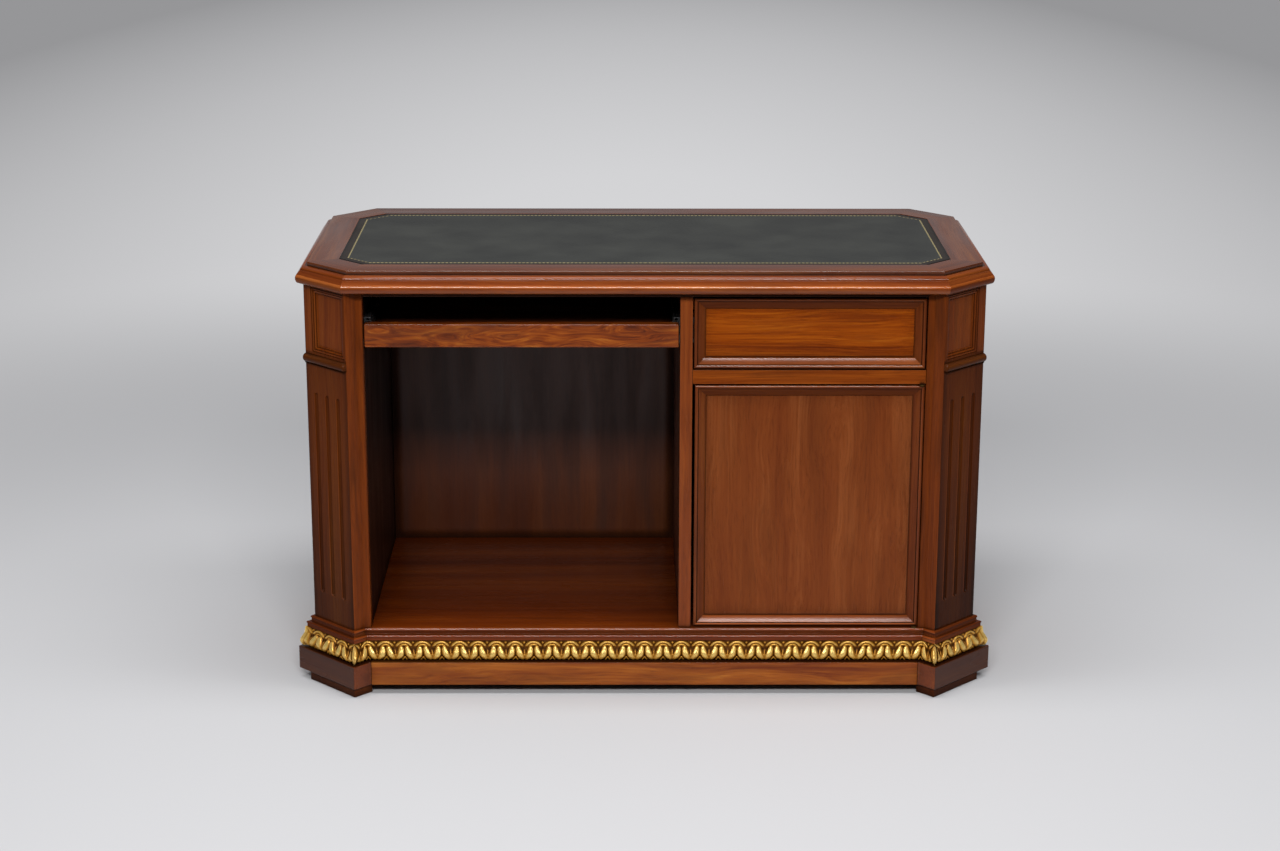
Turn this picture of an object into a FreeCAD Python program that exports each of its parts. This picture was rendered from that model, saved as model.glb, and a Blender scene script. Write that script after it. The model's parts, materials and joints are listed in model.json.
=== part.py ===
import FreeCAD
import Part
import functools
import math
import os
import re
import Sketcher
from FreeCAD import Vector

# Executive desk with canted corners, after the pattern of a library desk.
# Millimetres, +Z up, front towards -Y. The origin is on the floor under the middle of the desk.

doc = FreeCAD.newDocument("ExecutiveDesk")
sheet = doc.addObject("Spreadsheet::Sheet", "Sizes")

# Driving sizes, each with a note of what it measures
SIZES = {
    "overall_height": (769, "floor to writing surface"),
    "top_length": (1216, "top over its nosing"),
    "top_depth": (596, "top over its nosing"),
    "top_corner": (88, "plan leg of the top's canted corner"),
    "top_thickness": (37, "moulded top"),
    "top_overhang": (29, "nosing to the carcass front, side and back planes"),
    "edge_width": (21, "moulded edge, upper arris to nosing"),
    "border_width": (53, "wooden border round the leather"),
    "leather_corner": (49.5, "plan leg of the leather's canted corner"),
    "leather_thickness": (2.0, "writing leather"),
    "leather_sink": (0.4, "leather below the wooden border"),
    "sub_top_thickness": (10, "carcass top board"),
    "canted_leg": (80, "plan leg of a pilaster's canted face"),
    "return_leg": (16, "plan leg of a pilaster's 45 degree return"),
    "stile_width": (12, "flat stile beside a pilaster"),
    "stile_thickness": (20, "flat stile beside a pilaster"),
    "frieze_margin": (12, "wood on either side of the sunk frieze panel, before its shift"),
    "frieze_shift": (8, "frieze panel towards the front or back end of its canted face"),
    "frieze_lift": (4, "wood above and below the sunk frieze panel"),
    "frieze_step": (12, "width of the moulded step in the frieze panel"),
    "frieze_depth": (6, "sunk frieze panel"),
    "flute_radius": (5, "half-round flutes"),
    "flute_pitch": (30, "between flutes"),
    "flute_count": (3, "flutes on each pilaster"),
    "flute_foot": (50, "plain wood below the flutes"),
    "flute_head": (51, "plain wood between flutes and bead"),
    "bead_height": (18, "half-round bead across a canted face"),
    "bead_projection": (8.5, "half-round bead across a canted face"),
    "bead_drop": (5, "bead's lower edge below the drawer's lower edge"),
    "lining_thickness": (16, "inner side linings"),
    "side_board_thickness": (18, "outer side boards"),
    "back_board_thickness": (21, "outer back board"),
    "inner_back_thickness": (10, "back of the bay and cupboard"),
    "panel_sink": (8, "panel fields below the carcass planes"),
    "frame_width": (23, "mitred frame mouldings"),
    "partition_offset": (60, "middle of the desk to the partition"),
    "partition_thickness": (22, "centre partition"),
    "back_stile_width": (22, "stiles between the back panels"),
    "drawer_height": (124.5, "drawer front"),
    "rail_height": (25.5, "rail between drawer and door"),
    "rail_depth": (70, "rail between drawer and door"),
    "running_gap": (2.5, "round the drawer, above and below the door"),
    "latch_gap": (4.5, "at the door's free edge"),
    "hinge_gap": (1.5, "at the door's hinged edge"),
    "foot_height": (16.5, "feet"),
    "foot_inset": (4, "feet inside the faces of their blocks"),
    "foot_cut_back": (27, "outer end of a foot short of its block"),
    "plinth_height": (42.5, "plinth rails and corner blocks"),
    "plinth_projection": (22, "plinth beyond the carcass planes"),
    "plinth_thickness": (18, "plinth rails behind the carcass planes"),
    "gilt_height": (38, "carved leaf moulding"),
    "gilt_projection": (20, "carved leaf moulding"),
    "cap_height": (21, "base cap moulding and bottom board"),
    "cap_projection": (11, "base cap moulding"),
    "drawer_side_thickness": (12, "drawer sides and back"),
    "drawer_side_height": (96, "drawer sides and back"),
    "drawer_side_lift": (12, "drawer sides above the front's lower edge"),
    "drawer_bottom_thickness": (6, "drawer bottom"),
    "drawer_bottom_lift": (6, "drawer bottom above the sides' lower edge"),
    "drawer_clearance": (47, "drawer box to the inner back"),
    "front_thickness": (14, "drawer front behind its field"),
    "door_thickness": (18, "door panel behind its field"),
    "tray_front_height": (42, "keyboard tray front"),
    "tray_front_thickness": (18, "keyboard tray front"),
    "tray_front_gap": (6.3, "beside the keyboard tray front"),
    "tray_slot": (48, "open slot above the tray front"),
    "tray_board_thickness": (15, "keyboard tray board"),
    "tray_lip": (16, "tray front above the board"),
    "tray_clearance": (81, "keyboard tray board to the inner back"),
    "slide_width": (12.7, "two-member steel slide, across"),
    "slide_height": (45, "two-member steel slide"),
    "slide_sheet": (1.5, "steel of the slides"),
    "slide_lip": (4, "hooked lips of the slides"),
    "slide_play": (0.3, "running clearance of the slides"),
    "slide_rise": (3, "tray slide above the middle of the tray front"),
    "slide_setback": (14, "slides behind the fronts"),
    "leaf_thickness": (1.1, "pivot hinge leaves"),
    "leaf_width": (9, "pivot hinge leaves"),
    "leaf_length": (42, "pivot hinge leaves"),
    "pin_radius": (1.5, "pivot hinge pins"),
    "pin_clearance": (0.05, "pivot hinge pins, radial"),
    "pivot_inset": (5, "pivot from the door's hinged edge"),
    "catch_width": (14, "touch catch behind the door"),
    "catch_height": (12, "touch catch behind the door"),
    "catch_length": (40, "touch catch behind the door"),
    "catch_play": (0.3, "touch catch to the closed door"),
}
for row, (alias, (value, note)) in enumerate(SIZES.items(), 1):
    sheet.set(f"A{row}", alias)
    sheet.set(f"B{row}", str(value))
    sheet.set(f"C{row}", note)
    sheet.setAlias(f"B{row}", alias)
doc.recompute()


def bound(text):
    """The expression with each size's name turned into a reference to its cell."""
    def reference(word):
        return "Sizes." + word[0] if word[0] in SIZES else word[0]

    return re.sub(r"[a-z_]+", reference, str(text))


@functools.cache
def number(text):
    """The present value of an expression of sizes."""
    return float(sheet.evalExpression(bound(text)))


# Places that several pieces share, as expressions of the sizes
side_plane = "(top_length / 2 - top_overhang)"
front_plane = "(top_depth / 2 - top_overhang)"
field_plane = f"({front_plane} - panel_sink)"
opening = f"({side_plane} - canted_leg - stile_width)"
side_opening = f"({front_plane} - canted_leg - stile_width)"
plinth_top = "(foot_height + plinth_height)"
gilt_top = f"({plinth_top} + gilt_height)"
floor_level = f"({gilt_top} + cap_height)"
underside = "(overall_height - top_thickness)"
ceiling = f"({underside} - sub_top_thickness)"
drawer_low = f"({ceiling} - running_gap - drawer_height)"
rail_high = f"({drawer_low} - running_gap)"
rail_low = f"({rail_high} - rail_height)"
door_low = f"({floor_level} + running_gap)"
door_high = f"({rail_low} - running_gap)"
back_inside = f"({field_plane} - back_board_thickness - inner_back_thickness)"
partition_right = "(partition_offset + partition_thickness)"
drawer_left = f"({partition_right} + running_gap)"
drawer_right = f"({opening} - running_gap)"
door_left = f"({partition_right} + latch_gap)"
door_right = f"({opening} - hinge_gap)"
tray_high = f"({ceiling} - tray_slot)"
tray_low = f"({tray_high} - tray_front_height)"
tray_back = f"({front_plane} - tray_front_thickness)"
drawer_face_back = f"({field_plane} - front_thickness)"
tray_depth = f"({tray_back} + {back_inside} - tray_clearance)"
drawer_depth = f"({drawer_face_back} + {back_inside} - drawer_clearance)"

pieces = []


def keep(piece, label):
    """Name a finished piece and list it for export."""
    piece.Label = label
    pieces.append(piece)
    return piece


def board(name, low, high):
    """A plain board between two opposite corners, each a triple of expressions."""
    box = doc.addObject("Part::Box", name)
    for side, axis, start, end in zip(("Length", "Width", "Height"), "xyz", low, high):
        box.setExpression(side, bound(f"({end}) - ({start})"))
        box.setExpression(f"Placement.Base.{axis}", bound(start))
    return box


def group(label, members):
    """Several like pieces that share one node."""
    compound = doc.addObject("Part::Compound", label)
    compound.Links = members
    return keep(compound, label)


def plane(body, role):
    """One of a body's own origin planes."""
    return next(feature for feature in body.Origin.OriginFeatures if feature.Role == role)


def polygon(body, name, role, corners):
    """A closed sketch whose corners are pairs of expressions."""
    sketch = body.newObject("Sketcher::SketchObject", name)
    sketch.AttachmentSupport = (plane(body, role), [""])
    sketch.MapMode = "FlatFace"
    points = [Vector(number(across), number(along), 0) for across, along in corners]
    count = len(points)
    for index in range(count):
        sketch.addGeometry(Part.LineSegment(points[index], points[(index + 1) % count]), False)
    for index in range(count):
        sketch.addConstraint(Sketcher.Constraint("Coincident", index, 2, (index + 1) % count, 1))
    for index, (across, along) in enumerate(corners):
        tie(sketch, Sketcher.Constraint("DistanceX", index, 1, points[index].x), across)
        tie(sketch, Sketcher.Constraint("DistanceY", index, 1, points[index].y), along)
    return sketch


def tie(sketch, constraint, text):
    """Add a dimension to a sketch and bind it to an expression."""
    place = sketch.addConstraint(constraint)
    sketch.setExpression(f"Constraints[{place}]", bound(text))


def padded(name, role, corners, length, midway=False):
    """A body with one padded polygon."""
    body = doc.addObject("PartDesign::Body", name)
    pad = body.newObject("PartDesign::Pad", name + "Pad")
    pad.Profile = polygon(body, name + "Outline", role, corners)
    pad.setExpression("Length", bound(length))
    pad.Midplane = midway
    body.Tip = pad
    return body


def sunk(body, name, role, corners, depth):
    """A pocket cut from an origin plane into the body, which must take wood away."""
    doc.recompute()
    before = body.Shape.Volume
    pocket = body.newObject("PartDesign::Pocket", name)
    pocket.Profile = polygon(body, name + "Outline", role, corners)
    pocket.setExpression("Length", bound(depth))
    pocket.Reversed = True
    body.Tip = pocket
    doc.recompute()
    assert body.Shape.Volume < before, name
    return pocket


def place(body, x, y, z, turn=0):
    """Set a body down at a point given in expressions, turned about the vertical."""
    body.Placement.Rotation = FreeCAD.Rotation(Vector(0, 0, 1), turn)
    for axis, text in zip("xyz", (x, y, z)):
        body.setExpression(f"Placement.Base.{axis}", bound(text))


# Plan outline of the carcass with its canted corners, moved outwards by an offset.
# Each corner has four points: stile end, front arris, side arris and side stile end.
def corner_points(offset):
    diagonal = offset * math.sqrt(2)
    front = number(front_plane) + offset
    side = number(side_plane) + offset
    leg = number("return_leg")
    face = number("canted_leg")
    front_arris = number(front_plane) + leg + diagonal
    side_arris = number(side_plane) + leg + diagonal
    front_arris_x = number(side_plane) + leg - face
    side_arris_y = number(front_plane) + leg - face
    stile_x = front_arris_x - (front_arris - front)
    stile_y = side_arris_y - (side_arris - side)
    return [(stile_x, front), (front_arris_x, front_arris), (side_arris, side_arris_y), (side, stile_y)]


CORNERS = {"front_right": (1, -1), "back_right": (1, 1), "back_left": (-1, 1), "front_left": (-1, -1)}


def outline(offset):
    """All sixteen points in turn, anticlockwise from the front right corner."""
    points = []
    for across, along in CORNERS.values():
        quarter = [(across * x, along * y) for x, y in corner_points(offset)]
        points += quarter if across * along < 0 else quarter[::-1]
    return points


def mitred(corner, steps, profile, closed=False):
    """Moulding that turns in mitres: corner(step, offset, rise) is a point of the profile at a turn."""
    sections = [[corner(step, offset, rise) for offset, rise in profile] for step in steps]
    stretches = list(zip(sections, sections[1:]))
    if closed:
        stretches.append((sections[-1], sections[0]))
    faces = []
    for near, far in stretches:
        for index in range(len(profile)):
            quad = [near[index - 1], near[index], far[index], far[index - 1]]
            faces.append(Part.Face(Part.makePolygon(quad + quad[:1])))
    if not closed:
        faces += [Part.Face(Part.makePolygon(end + end[:1])) for end in (sections[0], sections[-1])]
    shell = Part.makeShell(faces)
    shell.sewShape()
    solid = Part.makeSolid(shell)
    if solid.Volume < 0:
        solid.reverse()
    return solid


def fixed_shape(label, shape):
    """A piece whose shape is made directly from profiles."""
    feature = doc.addObject("Part::Feature", label)
    feature.Shape = shape
    return feature


def quarter_curve(start, end, hollow, count=4):
    """Points of an elliptic quarter from start to end of a profile, without the start."""
    (x0, z0), (x1, z1) = start, end
    points = []
    for step in range(1, count + 1):
        angle = math.pi / 2 * step / count
        across, down = math.sin(angle), 1 - math.cos(angle)
        if hollow:
            across, down = 1 - math.cos(angle), math.sin(angle)
        points.append((x0 + (x1 - x0) * across, z0 + (z1 - z0) * down))
    return points


# Moulded octagonal top
def octagon(length, depth, corner, height):
    x = length / 2
    y = depth / 2
    points = []
    for across, along in CORNERS.values():
        pair = [(across * (x - corner), along * y), (across * x, along * (y - corner))]
        points += pair if across * along < 0 else pair[::-1]
    points = [Vector(px, py, height) for px, py in points]
    return Part.makePolygon(points + points[:1])


def top_edge():
    """Edge profile from the underside to the upper arris: inset from the nosing, and height."""
    height = number("overall_height")
    low = number(underside)
    tall = height - low
    width = number("edge_width")
    nose, hollow, cove, bead, quirk, fillet = (
        low + share * tall for share in (0.30, 0.53, 0.76, 0.81, 0.91, 0.92))
    torus_root, cove_root, bead_root, bead_top = (share * width for share in (0.30, 0.55, 0.57, 0.78))
    profile = [(torus_root, low)]
    profile += quarter_curve((torus_root, low), (0, nose), False)
    profile += quarter_curve((0, nose), (torus_root, hollow), True)
    profile += quarter_curve((torus_root, hollow), (cove_root, cove), False, 3)
    profile += [(bead_root, bead)]
    profile += quarter_curve((bead_root, bead), (bead_top, quirk), True, 3)
    profile += [(width, fillet), (width, height)]
    return profile


def make_top():
    length, depth, corner = number("top_length"), number("top_depth"), number("top_corner")
    shrink = 2 - math.sqrt(2)
    levels = [octagon(length - 2 * inset, depth - 2 * inset, corner - shrink * inset, height)
              for inset, height in top_edge()]
    slab = Part.makeLoft(levels, True, True)
    inset = number("edge_width + border_width")
    sink = number("leather_thickness + leather_sink")
    height = number("overall_height")
    recess = octagon(length - 2 * inset, depth - 2 * inset, number("leather_corner"), height - sink)
    slab = slab.cut(Part.Face(recess).extrude(Vector(0, 0, 2 * sink)))
    keep(fixed_shape("top_board", slab), "top_board")
    x = "(top_length / 2 - edge_width - border_width)"
    y = "(top_depth / 2 - edge_width - border_width)"
    corners = []
    for across, along in CORNERS.values():
        pair = [(f"{across} * ({x} - leather_corner)", f"{along} * {y}"),
                (f"{across} * {x}", f"{along} * ({y} - leather_corner)")]
        corners += pair if across * along < 0 else pair[::-1]
    leather = padded("LeatherPanel", "XY_Plane", corners, "leather_thickness")
    place(leather, 0, 0, "overall_height - leather_sink - leather_thickness")
    keep(leather, "leather_panel")


# Canted corner posts, drawn in their own frame: X along the canted face, -Y into the wood
half_face = "(canted_leg / sqrt(2))"
return_depth = "(return_leg * sqrt(2))"


def post_plan():
    """Half plan of a post from the front arris round to its inner face."""
    stile = "stile_width / sqrt(2)"
    thick = "stile_thickness / sqrt(2)"
    notch = "lining_thickness / sqrt(2)"
    return [
        (half_face, "0"),
        (half_face, f"-{return_depth}"),
        (f"{half_face} + {stile}", f"-{return_depth} - {stile}"),
        (f"{half_face} + {stile} - {thick}", f"-{return_depth} - {stile} - {thick}"),
        (f"{half_face} + {stile} - {thick} - {notch}", f"-{return_depth} - {stile} - {thick} + {notch}"),
        (f"{half_face} + {stile} - {thick} - 2 * {notch}", f"-{return_depth} - {stile} - {thick}"),
    ]


def stand_at_corner(body, corner, height):
    """Turn a corner piece to its quarter and set it under the middle of its canted face."""
    across, along = CORNERS[corner]
    x = f"{across} * ({side_plane} + return_leg - canted_leg / 2)"
    y = f"{along} * ({front_plane} + return_leg - canted_leg / 2)"
    place(body, x, y, height, -90 * across + 45 * across * along)


def flute_profile(body, low, high):
    """Half of the outermost flute, with its axis, on the canted face."""
    sketch = body.newObject("Sketcher::SketchObject", "FluteProfile")
    sketch.AttachmentSupport = (plane(body, "XZ_Plane"), [""])
    sketch.MapMode = "FlatFace"
    first = "-flute_pitch * (flute_count - 1) / 2"
    x, radius, bottom, top = number(first), number("flute_radius"), number(low), number(high)
    axis = Part.LineSegment(Vector(x, bottom), Vector(x, top))
    head = Part.Arc(Part.Circle(Vector(x, top - radius), Vector(0, 0, 1), radius), 0, math.pi / 2)
    side = Part.LineSegment(Vector(x + radius, top - radius), Vector(x + radius, bottom + radius))
    foot = Part.Arc(Part.Circle(Vector(x, bottom + radius), Vector(0, 0, 1), radius), -math.pi / 2, 0)
    for line in (axis, head, side, foot):
        sketch.addGeometry(line, False)
    sketch.addGeometry(axis, True)
    joined = ((0, 2, 1, 2), (1, 1, 2, 1), (2, 2, 3, 2), (3, 1, 0, 1), (4, 1, 0, 1), (4, 2, 0, 2))
    for ends in joined:
        sketch.addConstraint(Sketcher.Constraint("Coincident", *ends))
    for arc in (1, 3):
        sketch.addConstraint(Sketcher.Constraint("PointOnObject", arc, 3, 0))
    for line in (0, 2):
        sketch.addConstraint(Sketcher.Constraint("Vertical", line))
    tie(sketch, Sketcher.Constraint("DistanceX", 0, 1, x), first)
    tie(sketch, Sketcher.Constraint("DistanceY", 0, 1, bottom), low)
    tie(sketch, Sketcher.Constraint("DistanceY", 0, 2, top), high)
    tie(sketch, Sketcher.Constraint("Radius", 1, radius), "flute_radius")
    return sketch


def rectangle(middle, half_width, low, high):
    left, right = f"{middle} - ({half_width})", f"{middle} + ({half_width})"
    return [(left, low), (right, low), (right, high), (left, high)]


bead_low = f"({drawer_low} - bead_drop)"


def make_pilaster(corner):
    right_half = post_plan()
    left_half = [(f"-({x})", y) for x, y in reversed(right_half)]
    body = padded("Pilaster_" + corner, "XY_Plane", right_half + left_half, f"{underside} - {plinth_top}")
    base = plinth_top
    across, along = CORNERS[corner]
    middle = f"{-across * along} * frieze_shift"
    frieze_low = f"{bead_low} + bead_height + frieze_lift - {base}"
    frieze_high = f"{underside} - frieze_lift - {base}"
    width = f"{half_face} - frieze_margin"
    outer = rectangle(middle, width, frieze_low, frieze_high)
    sunk(body, "FriezeStep", "XZ_Plane", outer, "frieze_depth / 2")
    inner = rectangle(middle, f"{width} - frieze_step", f"{frieze_low} + frieze_step",
                      f"{frieze_high} - frieze_step")
    sunk(body, "FriezePanel", "XZ_Plane", inner, "frieze_depth")
    before = body.Shape.Volume
    profile = flute_profile(body, f"{floor_level} + flute_foot - {base}", f"{bead_low} - flute_head - {base}")
    flute = body.newObject("PartDesign::Groove", "Flute")
    flute.Profile = profile
    flute.ReferenceAxis = (profile, ["Axis0"])
    flute.Angle = 360
    doc.recompute()
    row = body.newObject("PartDesign::LinearPattern", "Flutes")
    row.Originals = [flute]
    row.Direction = (profile, ["H_Axis"])
    row.setExpression("Length", bound("flute_pitch * (flute_count - 1)"))
    row.setExpression("Occurrences", bound("flute_count"))
    body.Tip = row
    doc.recompute()
    assert body.Shape.Volume < before, "flutes"
    stand_at_corner(body, corner, base)
    keep(body, "corner_pilaster_" + corner)


def outline_corner(step, offset, height):
    points = outline(offset)
    return Vector(*points[step % len(points)], height)


def canted_point(step, offset, height):
    """A point straight out from one arris of a canted face."""
    x, y = outline(0)[step]
    out = offset / math.sqrt(2)
    return Vector(x + math.copysign(out, x), y + math.copysign(out, y), height)


def make_beads():
    """A half-round bar across each canted face, cut off at both arrises."""
    low, tall, reach = number(bead_low), number("bead_height"), number("bead_projection")
    middle = low + tall / 2
    lower = quarter_curve((0, low), (reach, middle), False)
    upper = quarter_curve((reach, middle), (0, low + tall), True)
    profile = [(0, low)] + lower + upper
    beads = []
    for index, corner in enumerate(CORNERS):
        arrises = (4 * index + 1, 4 * index + 2)
        beads.append(fixed_shape("Bead_" + corner, mitred(canted_point, arrises, profile)))
    group("pilaster_beads", beads)


# Carcass boards
def make_carcass():
    for name, across in (("left", -1), ("right", 1)):
        inner = f"{across} * {opening}"
        outer = f"{across} * ({opening} + lining_thickness)"
        low_x, high_x = (outer, inner) if across < 0 else (inner, outer)
        reach = f"({front_plane} - stile_thickness)"
        label = name + "_lining"
        keep(board(label, (low_x, f"-{reach}", plinth_top), (high_x, reach, underside)), label)
    back = f"{field_plane} - back_board_thickness"
    plinth_back = f"{front_plane} - plinth_thickness"
    keep(board("bottom_board", (f"-{opening}", f"-{front_plane}", gilt_top),
               (opening, plinth_back, floor_level)), "bottom_board")
    keep(board("sub_top", (f"-{opening}", f"-{front_plane}", ceiling), (opening, back, underside)), "sub_top")
    keep(board("inner_back", (f"-{opening}", back_inside, floor_level),
               (opening, back, ceiling)), "inner_back")
    keep(board("centre_partition", ("partition_offset", f"-{front_plane}", floor_level),
               (partition_right, back_inside, ceiling)), "centre_partition")
    keep(board("drawer_rail", (partition_right, f"-{front_plane}", rail_low),
               (opening, f"-{front_plane} + rail_depth", rail_high)), "drawer_rail")


# Mitred frames round a panel: a step and bead at the outer edge, then an ogee down to the field
def frame_profile():
    width, rise = number("frame_width"), number("panel_sink")
    rounded, crown, bead_end, quirk, shoulder, ogee, toe = (
        share * width for share in (0.07, 0.20, 0.28, 0.30, 0.36, 0.62, 0.90))
    spring, shoulder_rise, quirk_rise, ogee_rise, toe_rise, edge_rise = (
        share * rise for share in (0.80, 0.70, 0.66, 0.40, 0.12, 0.10))
    profile = [(0, 0), (0, spring)]
    profile += quarter_curve((0, spring), (rounded, rise), True, 3)
    profile += [(crown, rise)]
    profile += quarter_curve((crown, rise), (bead_end, spring), False, 3)
    profile += [(quirk, quirk_rise), (shoulder, shoulder_rise)]
    profile += quarter_curve((shoulder, shoulder_rise), (ogee, ogee_rise), False)
    profile += quarter_curve((ogee, ogee_rise), (toe, toe_rise), True)
    profile += [(width, edge_rise), (width, 0)]
    return profile


def panel_frame(low, high, point):
    """A rectangular frame; point(across, up, rise) sets it on its plane."""
    (left, bottom), (right, top) = low, high
    corners = ((left, bottom, 1, 1), (right, bottom, -1, 1), (right, top, -1, -1), (left, top, 1, -1))

    def corner(step, inset, rise):
        across, up, inwards, upwards = corners[step]
        return point(across + inwards * inset, up + upwards * inset, rise)

    return mitred(corner, range(len(corners)), frame_profile(), closed=True)


def on_front(across, up, rise):
    return Vector(across, -number(field_plane) - rise, up)


def on_back(across, up, rise):
    return Vector(-across, number(field_plane) + rise, up)


def on_right(across, up, rise):
    return Vector(number(side_plane) - number("panel_sink") + rise, across, up)


def on_left(across, up, rise):
    return Vector(-number(side_plane) + number("panel_sink") - rise, -across, up)


# Panelled sides
def make_sides():
    rails = []
    levels = ((rail_low, rail_high), (ceiling, underside))
    for name, across, point in (("left", -1, on_left), ("right", 1, on_right)):
        face = f"({side_plane} - panel_sink)"
        inside = f"({face} - side_board_thickness)"
        spans = [(f"-{face}", f"-{inside}"), (inside, face)]
        low_x, high_x = spans[0] if across < 0 else spans[1]
        label = name + "_side_board"
        low, high = (low_x, f"-{side_opening}", floor_level), (high_x, side_opening, underside)
        keep(board(label, low, high), label)
        for index, (bottom, top) in enumerate(levels):
            spans = [(f"-{side_plane}", f"-{face}"), (face, side_plane)]
            low_x, high_x = spans[0] if across < 0 else spans[1]
            rails.append(board(f"SideRail_{name}_{index}", (low_x, f"-{side_opening}", bottom),
                               (high_x, side_opening, top)))
        half = number(side_opening)
        frames = []
        for part, bottom, top in (("Lower", floor_level, rail_low), ("Frieze", rail_high, ceiling)):
            ring = panel_frame((-half, number(bottom)), (half, number(top)), point)
            frames.append(fixed_shape(f"{part}Frame_{name}", ring))
        group(name + "_side_mouldings", frames)
    group("side_rails", rails)


# Panelled back in three bays
def make_back():
    inner = f"{field_plane} - back_board_thickness"
    keep(board("back_board", (f"-{opening}", inner, floor_level),
               (opening, field_plane, underside)), "back_board")
    levels = ((rail_low, rail_high), (ceiling, underside))
    rails = [board(f"BackRail_{index}", (f"-{opening}", field_plane, low), (opening, front_plane, high))
             for index, (low, high) in enumerate(levels)]
    group("back_rails", rails)
    bay = f"((2 * {opening} - 2 * back_stile_width) / 3)"
    tiers = (("Lower", floor_level, rail_low), ("Frieze", rail_high, ceiling))
    stiles = []
    frames = []
    for part, bottom, top in tiers:
        for index in range(3):
            start = f"(-{opening} + {index} * ({bay} + back_stile_width))"
            end = f"({start} + {bay})"
            ring = panel_frame((number(start), number(bottom)), (number(end), number(top)), on_back)
            frames.append(fixed_shape(f"Back{part}Frame_{index}", ring))
            if index < 2:
                stiles.append(board(f"Back{part}Stile_{index}", (end, field_plane, bottom),
                                    (f"{end} + back_stile_width", front_plane, top)))
    group("back_stiles", stiles)
    group("back_mouldings", frames)


# Plinth, feet and the two mouldings that follow the broken outline above it
def make_plinth_rail(side):
    """An L-shaped rail: plinth below, backing for the gilt moulding above."""
    lengthways = side in ("front", "back")
    plane_text = front_plane if lengthways else side_plane
    half = opening if lengthways else side_opening
    top = gilt_top if side == "front" else floor_level
    outside = f"({plane_text} + plinth_projection)"
    inside = f"({plane_text} - plinth_thickness)"
    section = [(inside, "foot_height"), (outside, "foot_height"), (outside, plinth_top),
               (plane_text, plinth_top), (plane_text, top), (inside, top)]
    body = padded("PlinthRail_" + side, "XZ_Plane", section, f"2 * {half}", True)
    turn = {"front": -90, "right": 0, "back": 90, "left": 180}[side]
    place(body, 0, 0, 0, turn)
    keep(body, f"plinth_{side}_rail")


def make_plinth_blocks():
    feet = []
    arris = f"({half_face} + plinth_projection)"
    root = f"({return_depth} - (sqrt(2) - 1) * plinth_projection)"
    stile = f"({half_face} + stile_width / sqrt(2))"
    shelf = f"({return_depth} + stile_width / sqrt(2))"
    right_half = [
        (arris, "plinth_projection"),
        (arris, f"-{root}"),
        (f"{stile} + plinth_projection / sqrt(2)", f"-{shelf} + plinth_projection / sqrt(2)"),
        (f"{stile} - plinth_thickness / sqrt(2)", f"-{shelf} - plinth_thickness / sqrt(2)"),
    ]
    left_half = [(f"-({x})", y) for x, y in reversed(right_half)]
    for corner in CORNERS:
        body = padded("PlinthBlock_" + corner, "XY_Plane", right_half + left_half, "plinth_height")
        stand_at_corner(body, corner, "foot_height")
        keep(body, "plinth_block_" + corner)
        feet.append(make_foot(corner))
    group("feet", feet)


def make_foot(corner):
    """A low foot set in from its block and cut back at its outer end."""
    across, along = CORNERS[corner]
    front = -across * along
    reach = "(plinth_projection - foot_inset)"
    arris = f"{front} * ({half_face} + {reach})"
    outer = f"{-front} * ({half_face} + plinth_projection - foot_cut_back)"
    inner = f"({reach} - {return_depth} - plinth_thickness)"
    plan = [(arris, reach), (arris, inner), (outer, inner), (outer, reach)]
    body = padded("Foot_" + corner, "XY_Plane", plan, "foot_height")
    stand_at_corner(body, corner, 0)
    return body


def gilt_profile():
    """Plain body of the leaf moulding: a recess, then a torus that narrows to an upright neck."""
    low, high, reach = number(plinth_top), number(gilt_top), number("gilt_projection")
    tall = high - low
    recess_top, torus_low, swell, neck_low = (low + share * tall for share in (0.05, 0.08, 0.40, 0.80))
    recess, foot, neck, head = (share * reach for share in (0.35, 0.70, 0.70, 0.675))
    profile = [(0, low), (recess, low), (recess, recess_top), (foot, torus_low)]
    profile += quarter_curve((foot, torus_low), (reach, swell), False, 3)
    profile += quarter_curve((reach, swell), (neck, neck_low), True, 4)
    profile += [(head, high), (0, high)]
    return profile


def cap_profile():
    """Base cap: a fascia above the gilt moulding, a small nosing, a hollow and a rounded upper edge."""
    low, high, reach = number(gilt_top), number(floor_level), number("cap_projection")
    tall = high - low
    fascia_top, nose_low, nose_high, hollow_high, edge = (
        low + share * tall for share in (0.36, 0.39, 0.48, 0.80, 0.84))
    fascia, neck, lip, crown = (share * reach for share in (0.90, 0.40, 0.48, 0.25))
    profile = [(0, low), (fascia, low), (fascia, fascia_top), (reach, nose_low)]
    profile += quarter_curve((reach, nose_low), (fascia, nose_high), True, 3)
    profile += quarter_curve((fascia, nose_high), (neck, hollow_high), False)
    profile += [(lip, edge)]
    profile += quarter_curve((lip, edge), (crown, high), True, 3)
    profile += [(0, high)]
    return profile


def make_base_mouldings(name, profile):
    """Straight lengths on the four sides, and corner lengths with their returns."""
    for index, side in enumerate(("right", "back", "left", "front")):
        start = 4 * index + 3
        length = mitred(outline_corner, (start, start + 1), profile)
        keep(fixed_shape(f"{name}_{side}", length), f"{name}_{side}")
    corners = []
    for index, corner in enumerate(CORNERS):
        run = mitred(outline_corner, range(4 * index, 4 * index + 4), profile)
        corners.append(fixed_shape(f"{name}_{corner}", run))
    group(name + "_corners", corners)


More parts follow.
